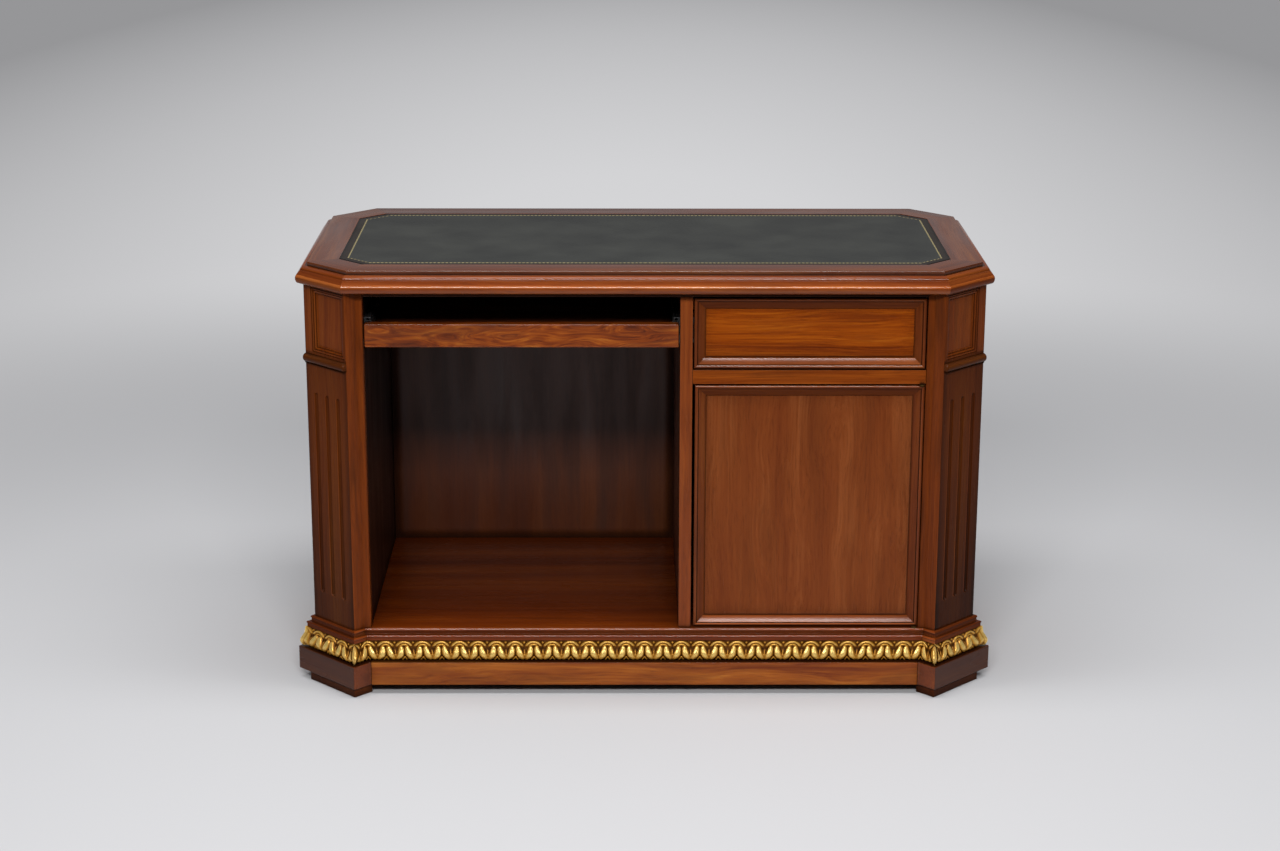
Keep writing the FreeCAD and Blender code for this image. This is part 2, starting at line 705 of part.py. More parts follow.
# Two-member steel slides: a channel on the carcass and a hooked runner inside it
def slide_sections():
    """Half sections, upper half only, as (distance from the carcass, height above the middle)."""
    tall = "(slide_height / 2)"
    mouth = "(slide_width - slide_sheet - 2 * slide_play)"
    throat = f"({tall} - slide_sheet - slide_lip)"
    channel = [("0", tall), (mouth, tall), (mouth, throat), (f"{mouth} - slide_sheet", throat),
               (f"{mouth} - slide_sheet", f"{tall} - slide_sheet"), ("slide_sheet", f"{tall} - slide_sheet")]
    hook = "(slide_sheet + slide_play)"
    arm = f"({throat} - slide_play)"
    runner = [("slide_width", arm), (f"{hook} + slide_sheet", arm),
              (f"{hook} + slide_sheet", f"{tall} - slide_sheet - slide_play"),
              (hook, f"{tall} - slide_sheet - slide_play"), (hook, f"{arm} - slide_sheet"),
              ("slide_width - slide_sheet", f"{arm} - slide_sheet")]
    return channel, runner


def make_slides(name, left_wall, right_wall, middle, front, length):
    """Both slides of a drawer or tray, as one node of channels and one of runners."""
    for part, half in zip(("channels", "runners"), slide_sections()):
        members = []
        section = half + [(x, f"-({z})") for x, z in reversed(half)]
        for side, wall, turn in (("left", left_wall, 0), ("right", right_wall, 180)):
            body = padded(f"{name}_{part}_{side}", "XZ_Plane", section, length, True)
            place(body, wall, f"-({front}) + ({length}) / 2", middle, turn)
            members.append(body)
        group(f"{name}_slide_{part}", members)


def make_drawer():
    low, high = drawer_low, f"({drawer_low} + drawer_height)"
    keep(board("drawer_front", (drawer_left, f"-{field_plane}", low),
               (drawer_right, f"-{drawer_face_back}", high)), "drawer_front")
    ring = panel_frame((number(drawer_left), number(low)), (number(drawer_right), number(high)), on_front)
    keep(fixed_shape("drawer_front_moulding", ring), "drawer_front_moulding")
    bottom = f"({drawer_low} + drawer_side_lift)"
    top = f"({bottom} + drawer_side_height)"
    front = f"-{drawer_face_back}"
    back = f"(-{drawer_face_back} + {drawer_depth})"
    left = f"({partition_right} + slide_width)"
    right = f"({opening} - slide_width)"
    inner_left = f"({left} + drawer_side_thickness)"
    inner_right = f"({right} - drawer_side_thickness)"
    keep(board("drawer_left_side", (left, front, bottom), (inner_left, back, top)), "drawer_left_side")
    keep(board("drawer_right_side", (inner_right, front, bottom), (right, back, top)), "drawer_right_side")
    inner_back = f"({back} - drawer_side_thickness)"
    keep(board("drawer_back", (inner_left, inner_back, bottom), (inner_right, back, top)), "drawer_back")
    base = f"({bottom} + drawer_bottom_lift)"
    keep(board("drawer_bottom", (inner_left, front, base),
               (inner_right, inner_back, f"{base} + drawer_bottom_thickness")), "drawer_bottom")
    middle = f"({bottom} + drawer_side_height / 2)"
    make_slides("drawer", partition_right, opening, middle, f"{drawer_face_back} - slide_setback",
                f"{drawer_depth} - slide_setback")


def make_tray():
    left, right = f"(-{opening} + tray_front_gap)", "(partition_offset - tray_front_gap)"
    keep(board("tray_front", (left, f"-{front_plane}", tray_low),
               (right, f"-{tray_back}", tray_high)), "tray_front")
    top = f"({tray_high} - tray_lip)"
    keep(board("tray_board", (f"-{opening} + slide_width", f"-{tray_back}", f"{top} - tray_board_thickness"),
               ("partition_offset - slide_width", f"-{tray_back} + {tray_depth}", top)), "tray_board")
    middle = f"({tray_low} + tray_front_height / 2 + slide_rise)"
    make_slides("tray", f"-{opening}", "partition_offset", middle, f"{tray_back} - slide_setback",
                f"{tray_depth} - slide_setback")


def hinge_leaf(low, thickness):
    """A cranked pivot leaf: a round nose at the pivot and a tail along the door's edge."""
    pivot_x = number(f"{door_right} - pivot_inset")
    pivot_y = -number(front_plane)
    width, length = number("leaf_width"), number("leaf_length")
    tail_y = -number(field_plane)
    nose = Part.makeCylinder(width / 2, thickness, Vector(pivot_x, pivot_y, low))
    neck = Part.makeBox(width, tail_y + width - pivot_y, thickness, Vector(pivot_x - width / 2, pivot_y, low))
    tail = Part.makeBox(length, width, thickness, Vector(pivot_x + width / 2 - length, tail_y, low))
    return nose.fuse(neck).fuse(tail).removeSplitter()


def make_door():
    keep(board("door_panel", (door_left, f"-{field_plane}", door_low),
               (door_right, f"-{field_plane} + door_thickness", door_high)), "door_panel")
    ring = panel_frame((number(door_left), number(door_low)),
                       (number(door_right), number(door_high)), on_front)
    keep(fixed_shape("door_moulding", ring), "door_moulding")
    pivot = Vector(number(f"{door_right} - pivot_inset"), -number(front_plane), 0)
    thick, gap = number("leaf_thickness"), number("running_gap")
    door_leaves = []
    frame_leaves = []
    for end, seat, wall in (("upper", number(door_high), number(rail_low)),
                            ("lower", number(door_low) - thick, number(floor_level))):
        hole = Part.makeCylinder(number("pin_radius + pin_clearance"), thick, Vector(pivot.x, pivot.y, seat))
        door_leaves.append(fixed_shape("DoorLeaf_" + end, hinge_leaf(seat, thick).cut(hole)))
        base = wall - thick if end == "upper" else wall
        pin_low = base - (gap - thick) if end == "upper" else base
        pin = Part.makeCylinder(number("pin_radius"), gap, Vector(pivot.x, pivot.y, pin_low))
        leaf = hinge_leaf(base, thick).fuse(pin).removeSplitter()
        frame_leaves.append(fixed_shape("FrameLeaf_" + end, leaf))
    group("door_hinge_leaves", door_leaves)
    group("frame_hinge_leaves", frame_leaves)
    left = f"({door_left} + frame_width)"
    front = f"(-{field_plane} + door_thickness + catch_play)"
    keep(board("door_catch", (left, front, f"{rail_low} - catch_height"),
               (f"{left} + catch_width", f"{front} + catch_length", rail_low)), "door_catch")


make_top()
for corner_name in CORNERS:
    make_pilaster(corner_name)
make_beads()
make_carcass()
make_sides()
make_back()
for side_name in ("front", "back", "left", "right"):
    make_plinth_rail(side_name)
make_plinth_blocks()
make_base_mouldings("gilt_moulding", gilt_profile())
make_base_mouldings("base_cap", cap_profile())
make_drawer()
make_tray()
make_door()
doc.recompute()

for item in doc.Objects:
    if any(state in ("Invalid", "Error") for state in item.State):
        raise RuntimeError(f"{item.Label} did not rebuild")
for piece in pieces:
    if piece.Shape.isNull() or not piece.Shape.isValid() or not piece.Shape.Solids:
        raise RuntimeError(f"{piece.Label} is not a sound solid")

os.makedirs("parts", exist_ok=True)
for piece in pieces:
    piece.Shape.exportStep(f"parts/{piece.Label}.step")
print(len(pieces), "pieces written")
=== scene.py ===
import json
import math
from functools import partial

import bmesh
import bpy
import numpy as np
from mathutils import Matrix, Vector

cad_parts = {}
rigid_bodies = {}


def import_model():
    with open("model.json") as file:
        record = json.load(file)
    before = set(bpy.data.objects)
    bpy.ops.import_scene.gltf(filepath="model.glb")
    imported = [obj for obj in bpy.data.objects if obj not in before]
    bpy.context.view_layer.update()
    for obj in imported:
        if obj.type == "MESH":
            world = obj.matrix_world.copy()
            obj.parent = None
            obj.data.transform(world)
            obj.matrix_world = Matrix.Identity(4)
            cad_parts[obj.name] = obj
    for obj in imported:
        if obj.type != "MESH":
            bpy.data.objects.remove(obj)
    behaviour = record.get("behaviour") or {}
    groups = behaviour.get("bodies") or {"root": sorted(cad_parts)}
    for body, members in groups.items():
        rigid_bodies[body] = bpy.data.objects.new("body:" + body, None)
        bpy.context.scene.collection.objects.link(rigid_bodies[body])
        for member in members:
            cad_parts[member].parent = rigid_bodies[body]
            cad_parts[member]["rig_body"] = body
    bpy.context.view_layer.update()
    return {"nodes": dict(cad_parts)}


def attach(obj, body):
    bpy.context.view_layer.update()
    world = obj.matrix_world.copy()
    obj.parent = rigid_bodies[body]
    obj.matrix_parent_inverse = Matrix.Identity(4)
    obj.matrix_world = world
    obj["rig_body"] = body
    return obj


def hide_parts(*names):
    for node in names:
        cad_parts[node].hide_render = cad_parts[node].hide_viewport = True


# Executive desk in polished mahogany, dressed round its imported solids
# Metres, front towards -Y, +Z up

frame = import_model()
nodes = frame["nodes"]
mm = 0.001
rootTwo = math.sqrt(2)
noiseSpan = (0.3, 0.7)  # where nearly all of a noise lies
dice = np.random.default_rng(12)  # board tones and grain offsets, the same at each run
print("frame loaded with", len(nodes), "nodes")


def linear(code):
    # sRGB to linear light: c / 12.92 near black, else ((c + 0.055) / 1.055) to the power 2.4
    c = np.array([int(code[i:i + 2], 16) for i in (1, 3, 5)]) / 255
    c = np.where(c <= 0.04045, c / 12.92, ((c + 0.055) / 1.055) ** 2.4)
    return (*c.tolist(), 1.0)


def addNode(tree, kind, inputs=(), stops=None, give=0, **settings):
    # one shader node with its settings, its socket values or links, listed in order or by their names or places, and
    # its colour stops; gives back one output
    node = tree.nodes.new("ShaderNode" + kind)
    for key, value in settings.items():
        setattr(node, key, value)
    for key, value in inputs.items() if isinstance(inputs, dict) else enumerate(inputs):
        if isinstance(value, bpy.types.NodeSocket):
            tree.links.new(value, node.inputs[key])
        else:
            node.inputs[key].default_value = value
    if stops:
        while len(node.color_ramp.elements) < len(stops):
            node.color_ramp.elements.new(1.0)
        for element, (place, colour) in zip(node.color_ramp.elements, stops):
            element.position = place
            element.color = linear(colour)
    return node.outputs[give] if len(node.outputs) else None


def newMaterial(name):
    # an empty material, and the function that adds a node to it
    material = bpy.data.materials.new(name)
    material.use_nodes = True
    material.node_tree.nodes.clear()
    return material, partial(addNode, material.node_tree)


def finishMaterial(add, inputs):
    add("OutputMaterial", {"Surface": add("BsdfPrincipled", inputs)})


# French-polished mahogany: ribbon stripes and fine lines along the grain, short dark pores,
# a warm red-brown body, a thin glossy skin of shellac, and dark wax with painted shade in the corners
mahoganyLook = {
    "places": (0.26, 0.44, 0.56, 0.76), "colours": ("#55220a", "#6f310f", "#7b3a12", "#94501c"),  # dark to pale figure
    "bandWidth": 60, "bandLength": 1100,  # ribbon stripes, mm
    "lineWidth": 4, "lineLength": 260,  # fine lines, mm
    "poreWidth": 1.8, "poreLength": 30,  # mm, drawn coarser than the real 0.3 mm so that they show
    "pore": "#2a0e04", "poreRange": (0.56, 0.70), "pits": 0.22,
    "toneShift": (3.1, 1.7, 2.3), "toneShare": 0.05,  # a board's own tone moves its grain and its shade
    "lineShare": 0.38,  # how much of the figure is fine lines, the rest is ribbon stripes
    "wander": 12, "wanderLength": 300,  # how far and over what length the grain wanders, mm
    "roughness": (0.20, 0.32), "sheen": 0.10,
    "dulled": 0.05, "dulledBy": 0.3,  # the sheen under toning, wax and painted shade, and how much of them that takes
    "glaze": "#1c0e07",  # dark colour of the painted shade in hollows and over the canted faces, and of toning and smears
    "wax": 0.85, "waxReach": 22,  # dark wax and painted shade in corners, its reach in mm
    "waxFrom": 0.985, "waxFull": 0.70,  # the openness where it starts and where it is full
    "clouds": 0.35, "cloudRange": (0.46, 0.72), "smearWidth": 34, "smearLength": 240,  # soft dark smears, mm
    "bump": 0.10, "bumpDepth": 0.2,  # mm
}
grainTurns = {"x": (0, 0, 0), "y": (0, 0, -math.pi / 2), "z": (0, math.pi / 2, 0),
              "rising": (0, 0, -math.pi / 4), "falling": (0, 0, math.pi / 4)}


def polishedWood(name, grain, **changes):
    # the grain runs along X, Y or Z of the piece, or along U of its map
    look = {**mahoganyLook, **changes}
    material, add = newMaterial(name)
    if grain == "uv":
        along = add("UVMap")
    else:
        place = add("TexCoord", give="Object")
        along = add("Mapping", {"Vector": place, "Rotation": grainTurns[grain]})
    tone = add("Attribute", attribute_name="boardTone", give="Fac")
    shift = add("VectorMath", {0: look["toneShift"], "Scale": tone}, operation="SCALE")
    along = add("VectorMath", [along, shift], operation="ADD")

    def streaks(vector, length, width, detail):
        scale = (1 / (length * mm), 1 / (width * mm), 1 / (width * mm))
        stretched = add("Mapping", {"Vector": vector, "Scale": scale})
        return add("TexNoise", {"Vector": stretched, "Scale": 1.0, "Detail": detail}, give="Fac")

    drift = streaks(along, look["wanderLength"], look["wanderLength"] / 4, 1.0)
    drift = add("MapRange", {0: drift, 3: -look["wander"] * mm, 4: look["wander"] * mm})
    drift = add("CombineXYZ", {1: drift, 2: drift})
    wavy = add("VectorMath", [along, drift], operation="ADD")
    bands = streaks(wavy, look["bandLength"], look["bandWidth"], 2.0)
    lines = streaks(wavy, look["lineLength"], look["lineWidth"], 3.0)
    pores = streaks(wavy, look["poreLength"], look["poreWidth"], 1.0)
    mixed = add("Mix", {0: look["lineShare"], 2: bands, 3: lines})
    mixed = add("Math", [tone, look["toneShare"], mixed], operation="MULTIPLY_ADD")
    colour = add("ValToRGB", [mixed], list(zip(look["places"], look["colours"])))
    pits = add("MapRange", [pores, *look["poreRange"], 0.0, look["pits"]])
    colour = add("Mix", {0: pits, 6: colour, 7: linear(look["pore"])}, data_type="RGBA", give=2)
    smears = streaks(wavy, look["smearLength"], look["smearWidth"], 2.0)
    clouds = add("MapRange", [smears, *look["cloudRange"], 0.0, look["clouds"]])
    # dark wax and painted shade where the piece is hemmed in, found by ambient occlusion
    corners = add("AmbientOcclusion", {"Distance": look["waxReach"] * mm}, samples=6, give="AO")
    wax = add("MapRange", [corners, look["waxFrom"], look["waxFull"], 0.0, look["wax"]])
    # painted shade and toning by face from the mesh's attribute, joined by the wax and painted shade of the corners
    toned = add("Attribute", attribute_name="glaze", give="Fac")
    toned = add("Math", [toned, wax], operation="MAXIMUM")
    dark = add("Math", [toned, clouds], operation="MAXIMUM")
    colour = add("Mix", {0: dark, 6: colour, 7: linear(look["glaze"])}, data_type="RGBA", give=2)
    rough = add("MapRange", [smears, *noiseSpan, *look["roughness"]])
    relief = add("Bump", {"Strength": look["bump"], "Distance": look["bumpDepth"] * mm, "Height": lines})
    gloss = add("MapRange", [toned, 0.0, look["dulledBy"], look["sheen"], look["dulled"]])
    finishMaterial(add, {"Base Color": colour, "Roughness": rough, "Normal": relief, "Specular IOR Level": gloss})
    return material


moulding = {"bandWidth": 30, "bump": 0.02}  # small figure and hardly any relief, so that highlights run clean
veneerPlaces, softPlaces = (0.30, 0.44, 0.55, 0.70), (0.28, 0.44, 0.56, 0.74)
frontWood = {axis: polishedWood("mahoganyPolished" + axis.upper(), axis) for axis in "xyz"}
cantedWood = {turn: polishedWood("mahoganyCanted" + turn.capitalize(), turn, sheen=0.30, dulled=0.25)
              for turn in ("rising", "falling")}
postWood = polishedWood("mahoganyPost", "z", wax=0.40, clouds=0.45, smearWidth=18, smearLength=160,
                        colours=("#5e2709", "#7a370e", "#874212", "#a0591d"))
frameWood = polishedWood("mahoganyFrame", "uv", sheen=0.22, roughness=(0.145, 0.155), **moulding)
capWood = polishedWood("mahoganyCap", "uv", sheen=0.50, roughness=(0.115, 0.12), **moulding,
                       colours=("#662609", "#83380f", "#904214", "#a85720"))
# painted shade: the bead's colours are the plain stops darkened about halfway to the dark shade colour, as on the
# canted faces
beadWood = polishedWood("mahoganyBead", "uv", sheen=0.05, dulled=0.0, roughness=(0.19, 0.21), **moulding,
                        colours=("#3c1a08", "#4c230b", "#54290e", "#643615"))
topWood = polishedWood("mahoganyTopBorder", "uv", bandWidth=40, sheen=0.52, dulled=0.52,
                       places=(0.30, 0.46, 0.54, 0.70), colours=("#4a1d08", "#6f310f", "#7d3b13", "#9c5720"))
edgeWood = polishedWood("mahoganyTopEdge", "uv", sheen=0.36, roughness=(0.125, 0.13), **moulding,
                        colours=("#602609", "#7a3610", "#874115", "#a05621"))
# painted highlight: paler copies of the mahogany for the nosing's and the frames' strips that catch the lamps
noseWood = polishedWood("mahoganyNosingHighlight", "uv", sheen=0.30, roughness=(0.125, 0.13), **moulding,
                        colours=("#8a4012", "#a65522", "#b3602a", "#c87838"))
highlightWood = polishedWood("mahoganyFrameHighlight", "uv", sheen=0.15, roughness=(0.145, 0.155), **moulding,
                          colours=("#7c3810", "#964a1d", "#a35425", "#b96a33"))
stileWood = polishedWood("mahoganyStile", "z", sheen=0.22, colours=("#66290b", "#853e14", "#944b1a", "#b06328"))
doorVeneer = polishedWood("mahoganyVeneerDoor", "z", bandWidth=46, bandLength=420, lineShare=0.40, wander=22,
                          wanderLength=260, clouds=0.18, waxReach=34, waxFull=0.86,
                          places=softPlaces, colours=("#662c0f", "#763816", "#7e3e19", "#8e4c24"))
# painted shade: ambient occlusion over 450 mm darkens the bay floor towards its back and walls
floorWood = polishedWood("mahoganyBayFloor", "x", sheen=0.04, wax=0.60, waxReach=450, waxFull=0.40,
                         colours=("#511b02", "#6b2803", "#7a3105", "#95440b"))
plinthWood = {axis: polishedWood(
    "mahoganyPlinth" + axis.upper(), axis, sheen=0.22, bandWidth=24, bandLength=260, lineLength=140, wander=30,
    wanderLength=220, places=veneerPlaces, colours=("#712f0d", "#904813", "#a25719", "#bd7128")) for axis in "xy"}
railWood = polishedWood("mahoganyRail", "x", bandWidth=26, lineWidth=3, lineLength=180, waxFull=0.86,
                        places=veneerPlaces, colours=("#5c2406", "#80390b", "#91450f", "#ab5a18"))
drawerVeneer = polishedWood("mahoganyVeneerDrawer", "x", bandWidth=26, lineWidth=3, lineLength=180, lineShare=0.52,
                            waxReach=34, waxFull=0.86, clouds=0.2,
                            places=veneerPlaces, colours=("#642505", "#8d3d07", "#a04b0a", "#bd6413"))
trayVeneer = polishedWood("mahoganyCrotchFigure", "x", bandWidth=24, bandLength=110, lineLength=80, wander=46,
                          wanderLength=130, lineShare=0.5, sheen=0.40,
                          places=veneerPlaces, colours=("#511d06", "#84390c", "#a25012", "#c67728"))
# painted shade: the inside of the bay in a darker copy of the mahogany
shadedInnerWood = {axis: polishedWood(
    "mahoganyInnerShaded" + axis.upper(), axis, roughness=(0.34, 0.48), sheen=0.48, lineShare=0.25, bandWidth=80,
    colours=("#3e1909", "#4c220d", "#562910", "#653416")) for axis in "xz"}
# painted shade: the bay's side walls darker still, nearly black
shadedWallWood = polishedWood("mahoganyBayWallShaded", "z", roughness=(0.34, 0.48), sheen=0.3, bandWidth=80,
                        colours=("#1e0d06", "#281208", "#2e160a", "#381c0e"))
liningWood = {axis: polishedWood(
    "drawerLiningWaxed" + axis.upper(), axis, roughness=(0.42, 0.55), sheen=0.2, wax=0.4,
    places=softPlaces, colours=("#8a6238", "#a57a49", "#b68a57", "#c79d6a")) for axis in "xy"}
print("woods mixed")

# Burnished gold leaf on carving, coloured by the carving's height: bright on the crests, partly burnish and partly
# painted highlight, and warm brown in the hollows, partly size and dust left there and partly painted shade
gildingLook = {"stops": [(0.06, "#351d05"), (0.30, "#7f4d10"), (0.60, "#c98f2a"), (1.0, "#fbd982")],
               "rubsPerMetre": 160.0, "wear": 0.16, "roughness": (0.55, 0.26),  # hollow and crest
               "bareTo": (0.10, 0.45), "metal": (0.2, 0.5), "sheen": (0.05, 0.5)}  # heights of bare size and full leaf


def goldLeaf():
    look = gildingLook
    material, add = newMaterial("goldLeafBurnished")
    place = add("TexCoord", give="Object")
    crest = add("Attribute", attribute_name="relief", give="Fac")
    rubs = add("TexNoise", {"Vector": place, "Scale": look["rubsPerMetre"], "Detail": 3.0}, give="Fac")
    wearAndHighlight = add("MapRange", [rubs, 0.0, 1.0, -look["wear"], look["wear"]])
    height = add("Math", [crest, wearAndHighlight], operation="ADD")
    colour = add("ValToRGB", [height], look["stops"])
    metal = add("MapRange", [height, *look["bareTo"], *look["metal"]])
    rough = add("MapRange", [height, 0.0, 1.0, *look["roughness"]])
    relief = add("Bump", {"Strength": 0.2, "Distance": 0.3 * mm, "Height": rubs})
    gloss = add("MapRange", [height, *look["bareTo"], *look["sheen"]])
    finishMaterial(add, {"Base Color": colour, "Metallic": metal, "Roughness": rough, "Normal": relief,
                         "Specular IOR Level": gloss})
    return material


# Dyed hide, skived and laid in the top: fine pebble, a sheen at low angles, one tooled gold line near the edge
leatherLook = {
    "halfLength": 534, "halfDepth": 224, "corner": 49.5,  # mm, as its solid
    "lineInset": 15, "lineWidth": 2.6, "longLineWidth": 5.5, "dotPitch": 7.0, "seamWidth": 6,  # mm
    "dotReach": (0.24, 0.46), "dotShares": (1.0, 0.12),  # shares of the pitch, gold in a dot and between dots
    "pebblesPerMetre": 420.0, "cloudsPerMetre": 9.0, "cloudRange": (0.32, 0.68), "roughness": (0.42, 0.54),
    "body": "#363734", "shade": "#212220", "edge": "#241d18", "seamShadow": "#0c0806", "gold": "#94875f",
}


def writingLeather():
    look = leatherLook
    material, add = newMaterial("writingLeather")
    place = add("TexCoord", give="Object")
    folded = add("VectorMath", [place], operation="ABSOLUTE")
    x, y, _ = add("SeparateXYZ", [folded]).node.outputs
    toEnd = add("Math", [look["halfLength"] * mm, x], operation="SUBTRACT")
    toSide = add("Math", [look["halfDepth"] * mm, y], operation="SUBTRACT")
    both = add("Math", [toEnd, toSide], operation="ADD")
    toCorner = add("Math", [both, look["corner"] * mm], operation="SUBTRACT")
    toCorner = add("Math", [toCorner, 1 / rootTwo], operation="MULTIPLY")
    nearest = add("Math", [toEnd, toSide], operation="MINIMUM")
    nearest = add("Math", [nearest, toCorner], operation="MINIMUM")
    inset, half = look["lineInset"] * mm, look["lineWidth"] * mm / 2
    tooled = add("Math", [nearest, inset, half], operation="COMPARE")
    # the line on the long sides is drawn coarser than on the ends, so that it shows at a low angle
    wideHalf = look["longLineWidth"] * mm / 2
    longLine = add("Math", [toSide, inset, wideHalf], operation="COMPARE")
    ends = add("Math", [toEnd, toCorner], operation="MINIMUM")
    between = add("Math", [ends, inset], operation="GREATER_THAN")
    longLine = add("Math", [longLine, between], operation="MULTIPLY")
    tooled = add("Math", [tooled, longLine], operation="MAXIMUM")
    outside = add("Math", [nearest, inset], operation="LESS_THAN")
    pebble = add("TexVoronoi", {"Vector": place, "Scale": look["pebblesPerMetre"]}, give="Distance")
    clouds = add("TexNoise", {"Vector": place, "Scale": look["cloudsPerMetre"], "Detail": 5.0}, give="Fac")
    # a square lattice that starts where the long and short lines would cross sets an even chain of tooled dots
    crossing = ((look["halfLength"] - look["lineInset"]) * mm, (look["halfDepth"] - look["lineInset"]) * mm, 0)
    lattice = add("VectorMath", [folded, crossing], operation="SUBTRACT")
    dots = add("TexVoronoi", {"Vector": lattice, "Scale": 1 / (look["dotPitch"] * mm), "Randomness": 0.0},
               voronoi_dimensions="2D", give="Distance")
    dots = add("MapRange", [dots, *look["dotReach"], *look["dotShares"]])
    tooled = add("Math", [tooled, dots], operation="MULTIPLY")
    wearAndHighlight = add("MapRange", [clouds, *look["cloudRange"]])
    hide = add("Mix", {0: wearAndHighlight, 6: linear(look["shade"]), 7: linear(look["body"])}, data_type="RGBA", give=2)
    # a dark seam round the leather, with painted shadow of the border's edge fading over the seam's width
    seamShadow = add("MapRange", [nearest, 0.0, look["seamWidth"] * mm])
    edge = add("Mix", {0: seamShadow, 6: linear(look["seamShadow"]), 7: linear(look["edge"])}, data_type="RGBA", give=2)
    rim = add("Mix", {0: outside, 6: hide, 7: edge}, data_type="RGBA", give=2)
    colour = add("Mix", {0: tooled, 6: rim, 7: linear(look["gold"])}, data_type="RGBA", give=2)
    rough = add("MapRange", [clouds, *noiseSpan, *look["roughness"]])
    relief = add("Bump", {"Strength": 0.25, "Distance": 0.3 * mm, "Height": pebble})
    finishMaterial(add, {"Base Color": colour, "Roughness": rough, "Normal": relief, "Specular IOR Level": 0.18})
    return material


# Plain fittings: rolled zinc-plated steel, aged satin brass and moulded black nylon, each with fine handling marks,
# whose number in a metre along X, Y and Z is the scale
def fitting(name, dark, pale, metallic, roughness, scale):
    material, add = newMaterial(name)
    place = add("TexCoord", give="Object")
    stretched = add("Mapping", {"Vector": place, "Scale": scale})
    marks = add("TexNoise", {"Vector": stretched, "Scale": 1.0, "Detail": 4.0}, give="Fac")
    colour = add("ValToRGB", [marks], list(zip(noiseSpan, (dark, pale))))
    rough = add("MapRange", [marks, *noiseSpan, *roughness])
    relief = add("Bump", {"Strength": 0.1, "Distance": 0.1 * mm, "Height": marks})
    finishMaterial(add, {"Base Color": colour, "Metallic": metallic, "Roughness": rough, "Normal": relief})
    return material


gilding = goldLeaf()
leather = writingLeather()
steel = fitting("steelZincPlated", "#77787a", "#a9aaad", 1.0, (0.24, 0.38), (600, 20, 600))
brass = fitting("brassAgedSatin", "#5e4624", "#80653a", 1.0, (0.26, 0.40), (80, 500, 500))
nylon = fitting("nylonMoulded", "#17130f", "#2a241e", 0.0, (0.44, 0.58), (300, 300, 300))
print("metals and leather mixed")


def makePiece(node, ending, shape, material, slot="mahogany", sharp=32, eased=0.0, **values):
    # puts worked-out points, faces and perhaps a map into a mesh that rides on its solid's body and stands for it;
    # material is one finish, or a list of them with the place of each face's own in it
    verts, faces, *charts = shape
    name = node + ending
    mesh = bpy.data.meshes.new(name)
    mesh.from_pydata(np.asarray(verts).reshape(-1, 3).tolist(), [], faces)
    for chart in charts:
        mesh.uv_layers.new(name="grain").data.foreach_set("uv", np.asarray(chart, np.float32).ravel())
    for key, row in values.items():
        layer = mesh.attributes.new(key, "FLOAT", "FACE" if key == "glaze" else "POINT")
        layer.data.foreach_set("value", np.asarray(row, np.float32))
    mesh.shade_smooth()
    mesh.set_sharp_from_angle(angle=math.radians(sharp))
    finishes, picked = material if isinstance(material, tuple) else ([material], None)
    for finish in finishes:
        mesh.materials.append(finish)
    if picked is not None:
        mesh.polygons.foreach_set("material_index", np.asarray(picked, np.int32))
    piece = bpy.data.objects.new(name, mesh)
    bpy.context.scene.collection.objects.link(piece)
    if eased:
        edge = piece.modifiers.new("easedEdges", "BEVEL")
        edge.width = eased
        edge.segments = 2
        edge.limit_method = "ANGLE"
        edge.angle_limit = math.radians(40)
        edge.harden_normals = True
    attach(piece, nodes[node]["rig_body"])
    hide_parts(node)


def nodePoints(node):
    # corner points of a solid's triangles, three for each triangle
    mesh = nodes[node].data
    points = np.empty(len(mesh.vertices) * 3)
    mesh.vertices.foreach_get("co", points)
    order = np.empty(len(mesh.loops), int)
    mesh.loops.foreach_get("vertex_index", order)
    return points.reshape(-1, 3)[order]


# Plain boards with eased edges: node, wood, record slot, ease in mm; a second wood is for the front edge
boards = {
    "drawer_front": (drawerVeneer, "mahogany", 0.6),
    "door_panel": (doorVeneer, "mahogany", 0.6),
    "tray_front": (trayVeneer, "mahogany", 2.5),
    "drawer_rail": (railWood, "mahogany", 0.8),
    "centre_partition": ([shadedInnerWood["z"], stileWood], "inner_wood", 1.0),
    "left_lining": ([shadedWallWood, stileWood], "inner_wood", 1.5),
    "right_lining": ([shadedWallWood, stileWood], "inner_wood", 1.5),
    "inner_back": (shadedInnerWood["z"], "inner_wood", 0.6),
    "bottom_board": (floorWood, "inner_wood", 0.8),
    "sub_top": (shadedInnerWood["x"], "inner_wood", 0.6),
    "left_side_board": (frontWood["z"], "mahogany", 0.6),
    "right_side_board": (frontWood["z"], "mahogany", 0.6),
    "side_rails": (frontWood["y"], "mahogany", 0.8),
    "back_board": (frontWood["z"], "mahogany", 0.6),
    "back_rails": (frontWood["x"], "mahogany", 0.8),
    "back_stiles": (frontWood["z"], "mahogany", 0.8),
    "tray_board": (shadedInnerWood["x"], "inner_wood", 0.8),
    "drawer_left_side": (liningWood["y"], "drawer_wood", 1.0),
    "drawer_right_side": (liningWood["y"], "drawer_wood", 1.0),
    "drawer_back": (liningWood["x"], "drawer_wood", 1.0),
    "drawer_bottom": (liningWood["x"], "drawer_wood", 0.4),
    "door_catch": (nylon, "catch_plastic", 1.5),
}
widened = {"tray_front": 4.5}  # mm at each end, over the ends of its slides
cubeCorners = np.array([[0, 0, 0], [1, 0, 0], [1, 1, 0], [0, 1, 0], [0, 0, 1], [1, 0, 1], [1, 1, 1], [0, 1, 1]])
cubeFaces = np.array([[3, 2, 1, 0], [4, 5, 6, 7], [0, 1, 5, 4], [1, 2, 6, 5], [2, 3, 7, 6], [3, 0, 4, 7]])


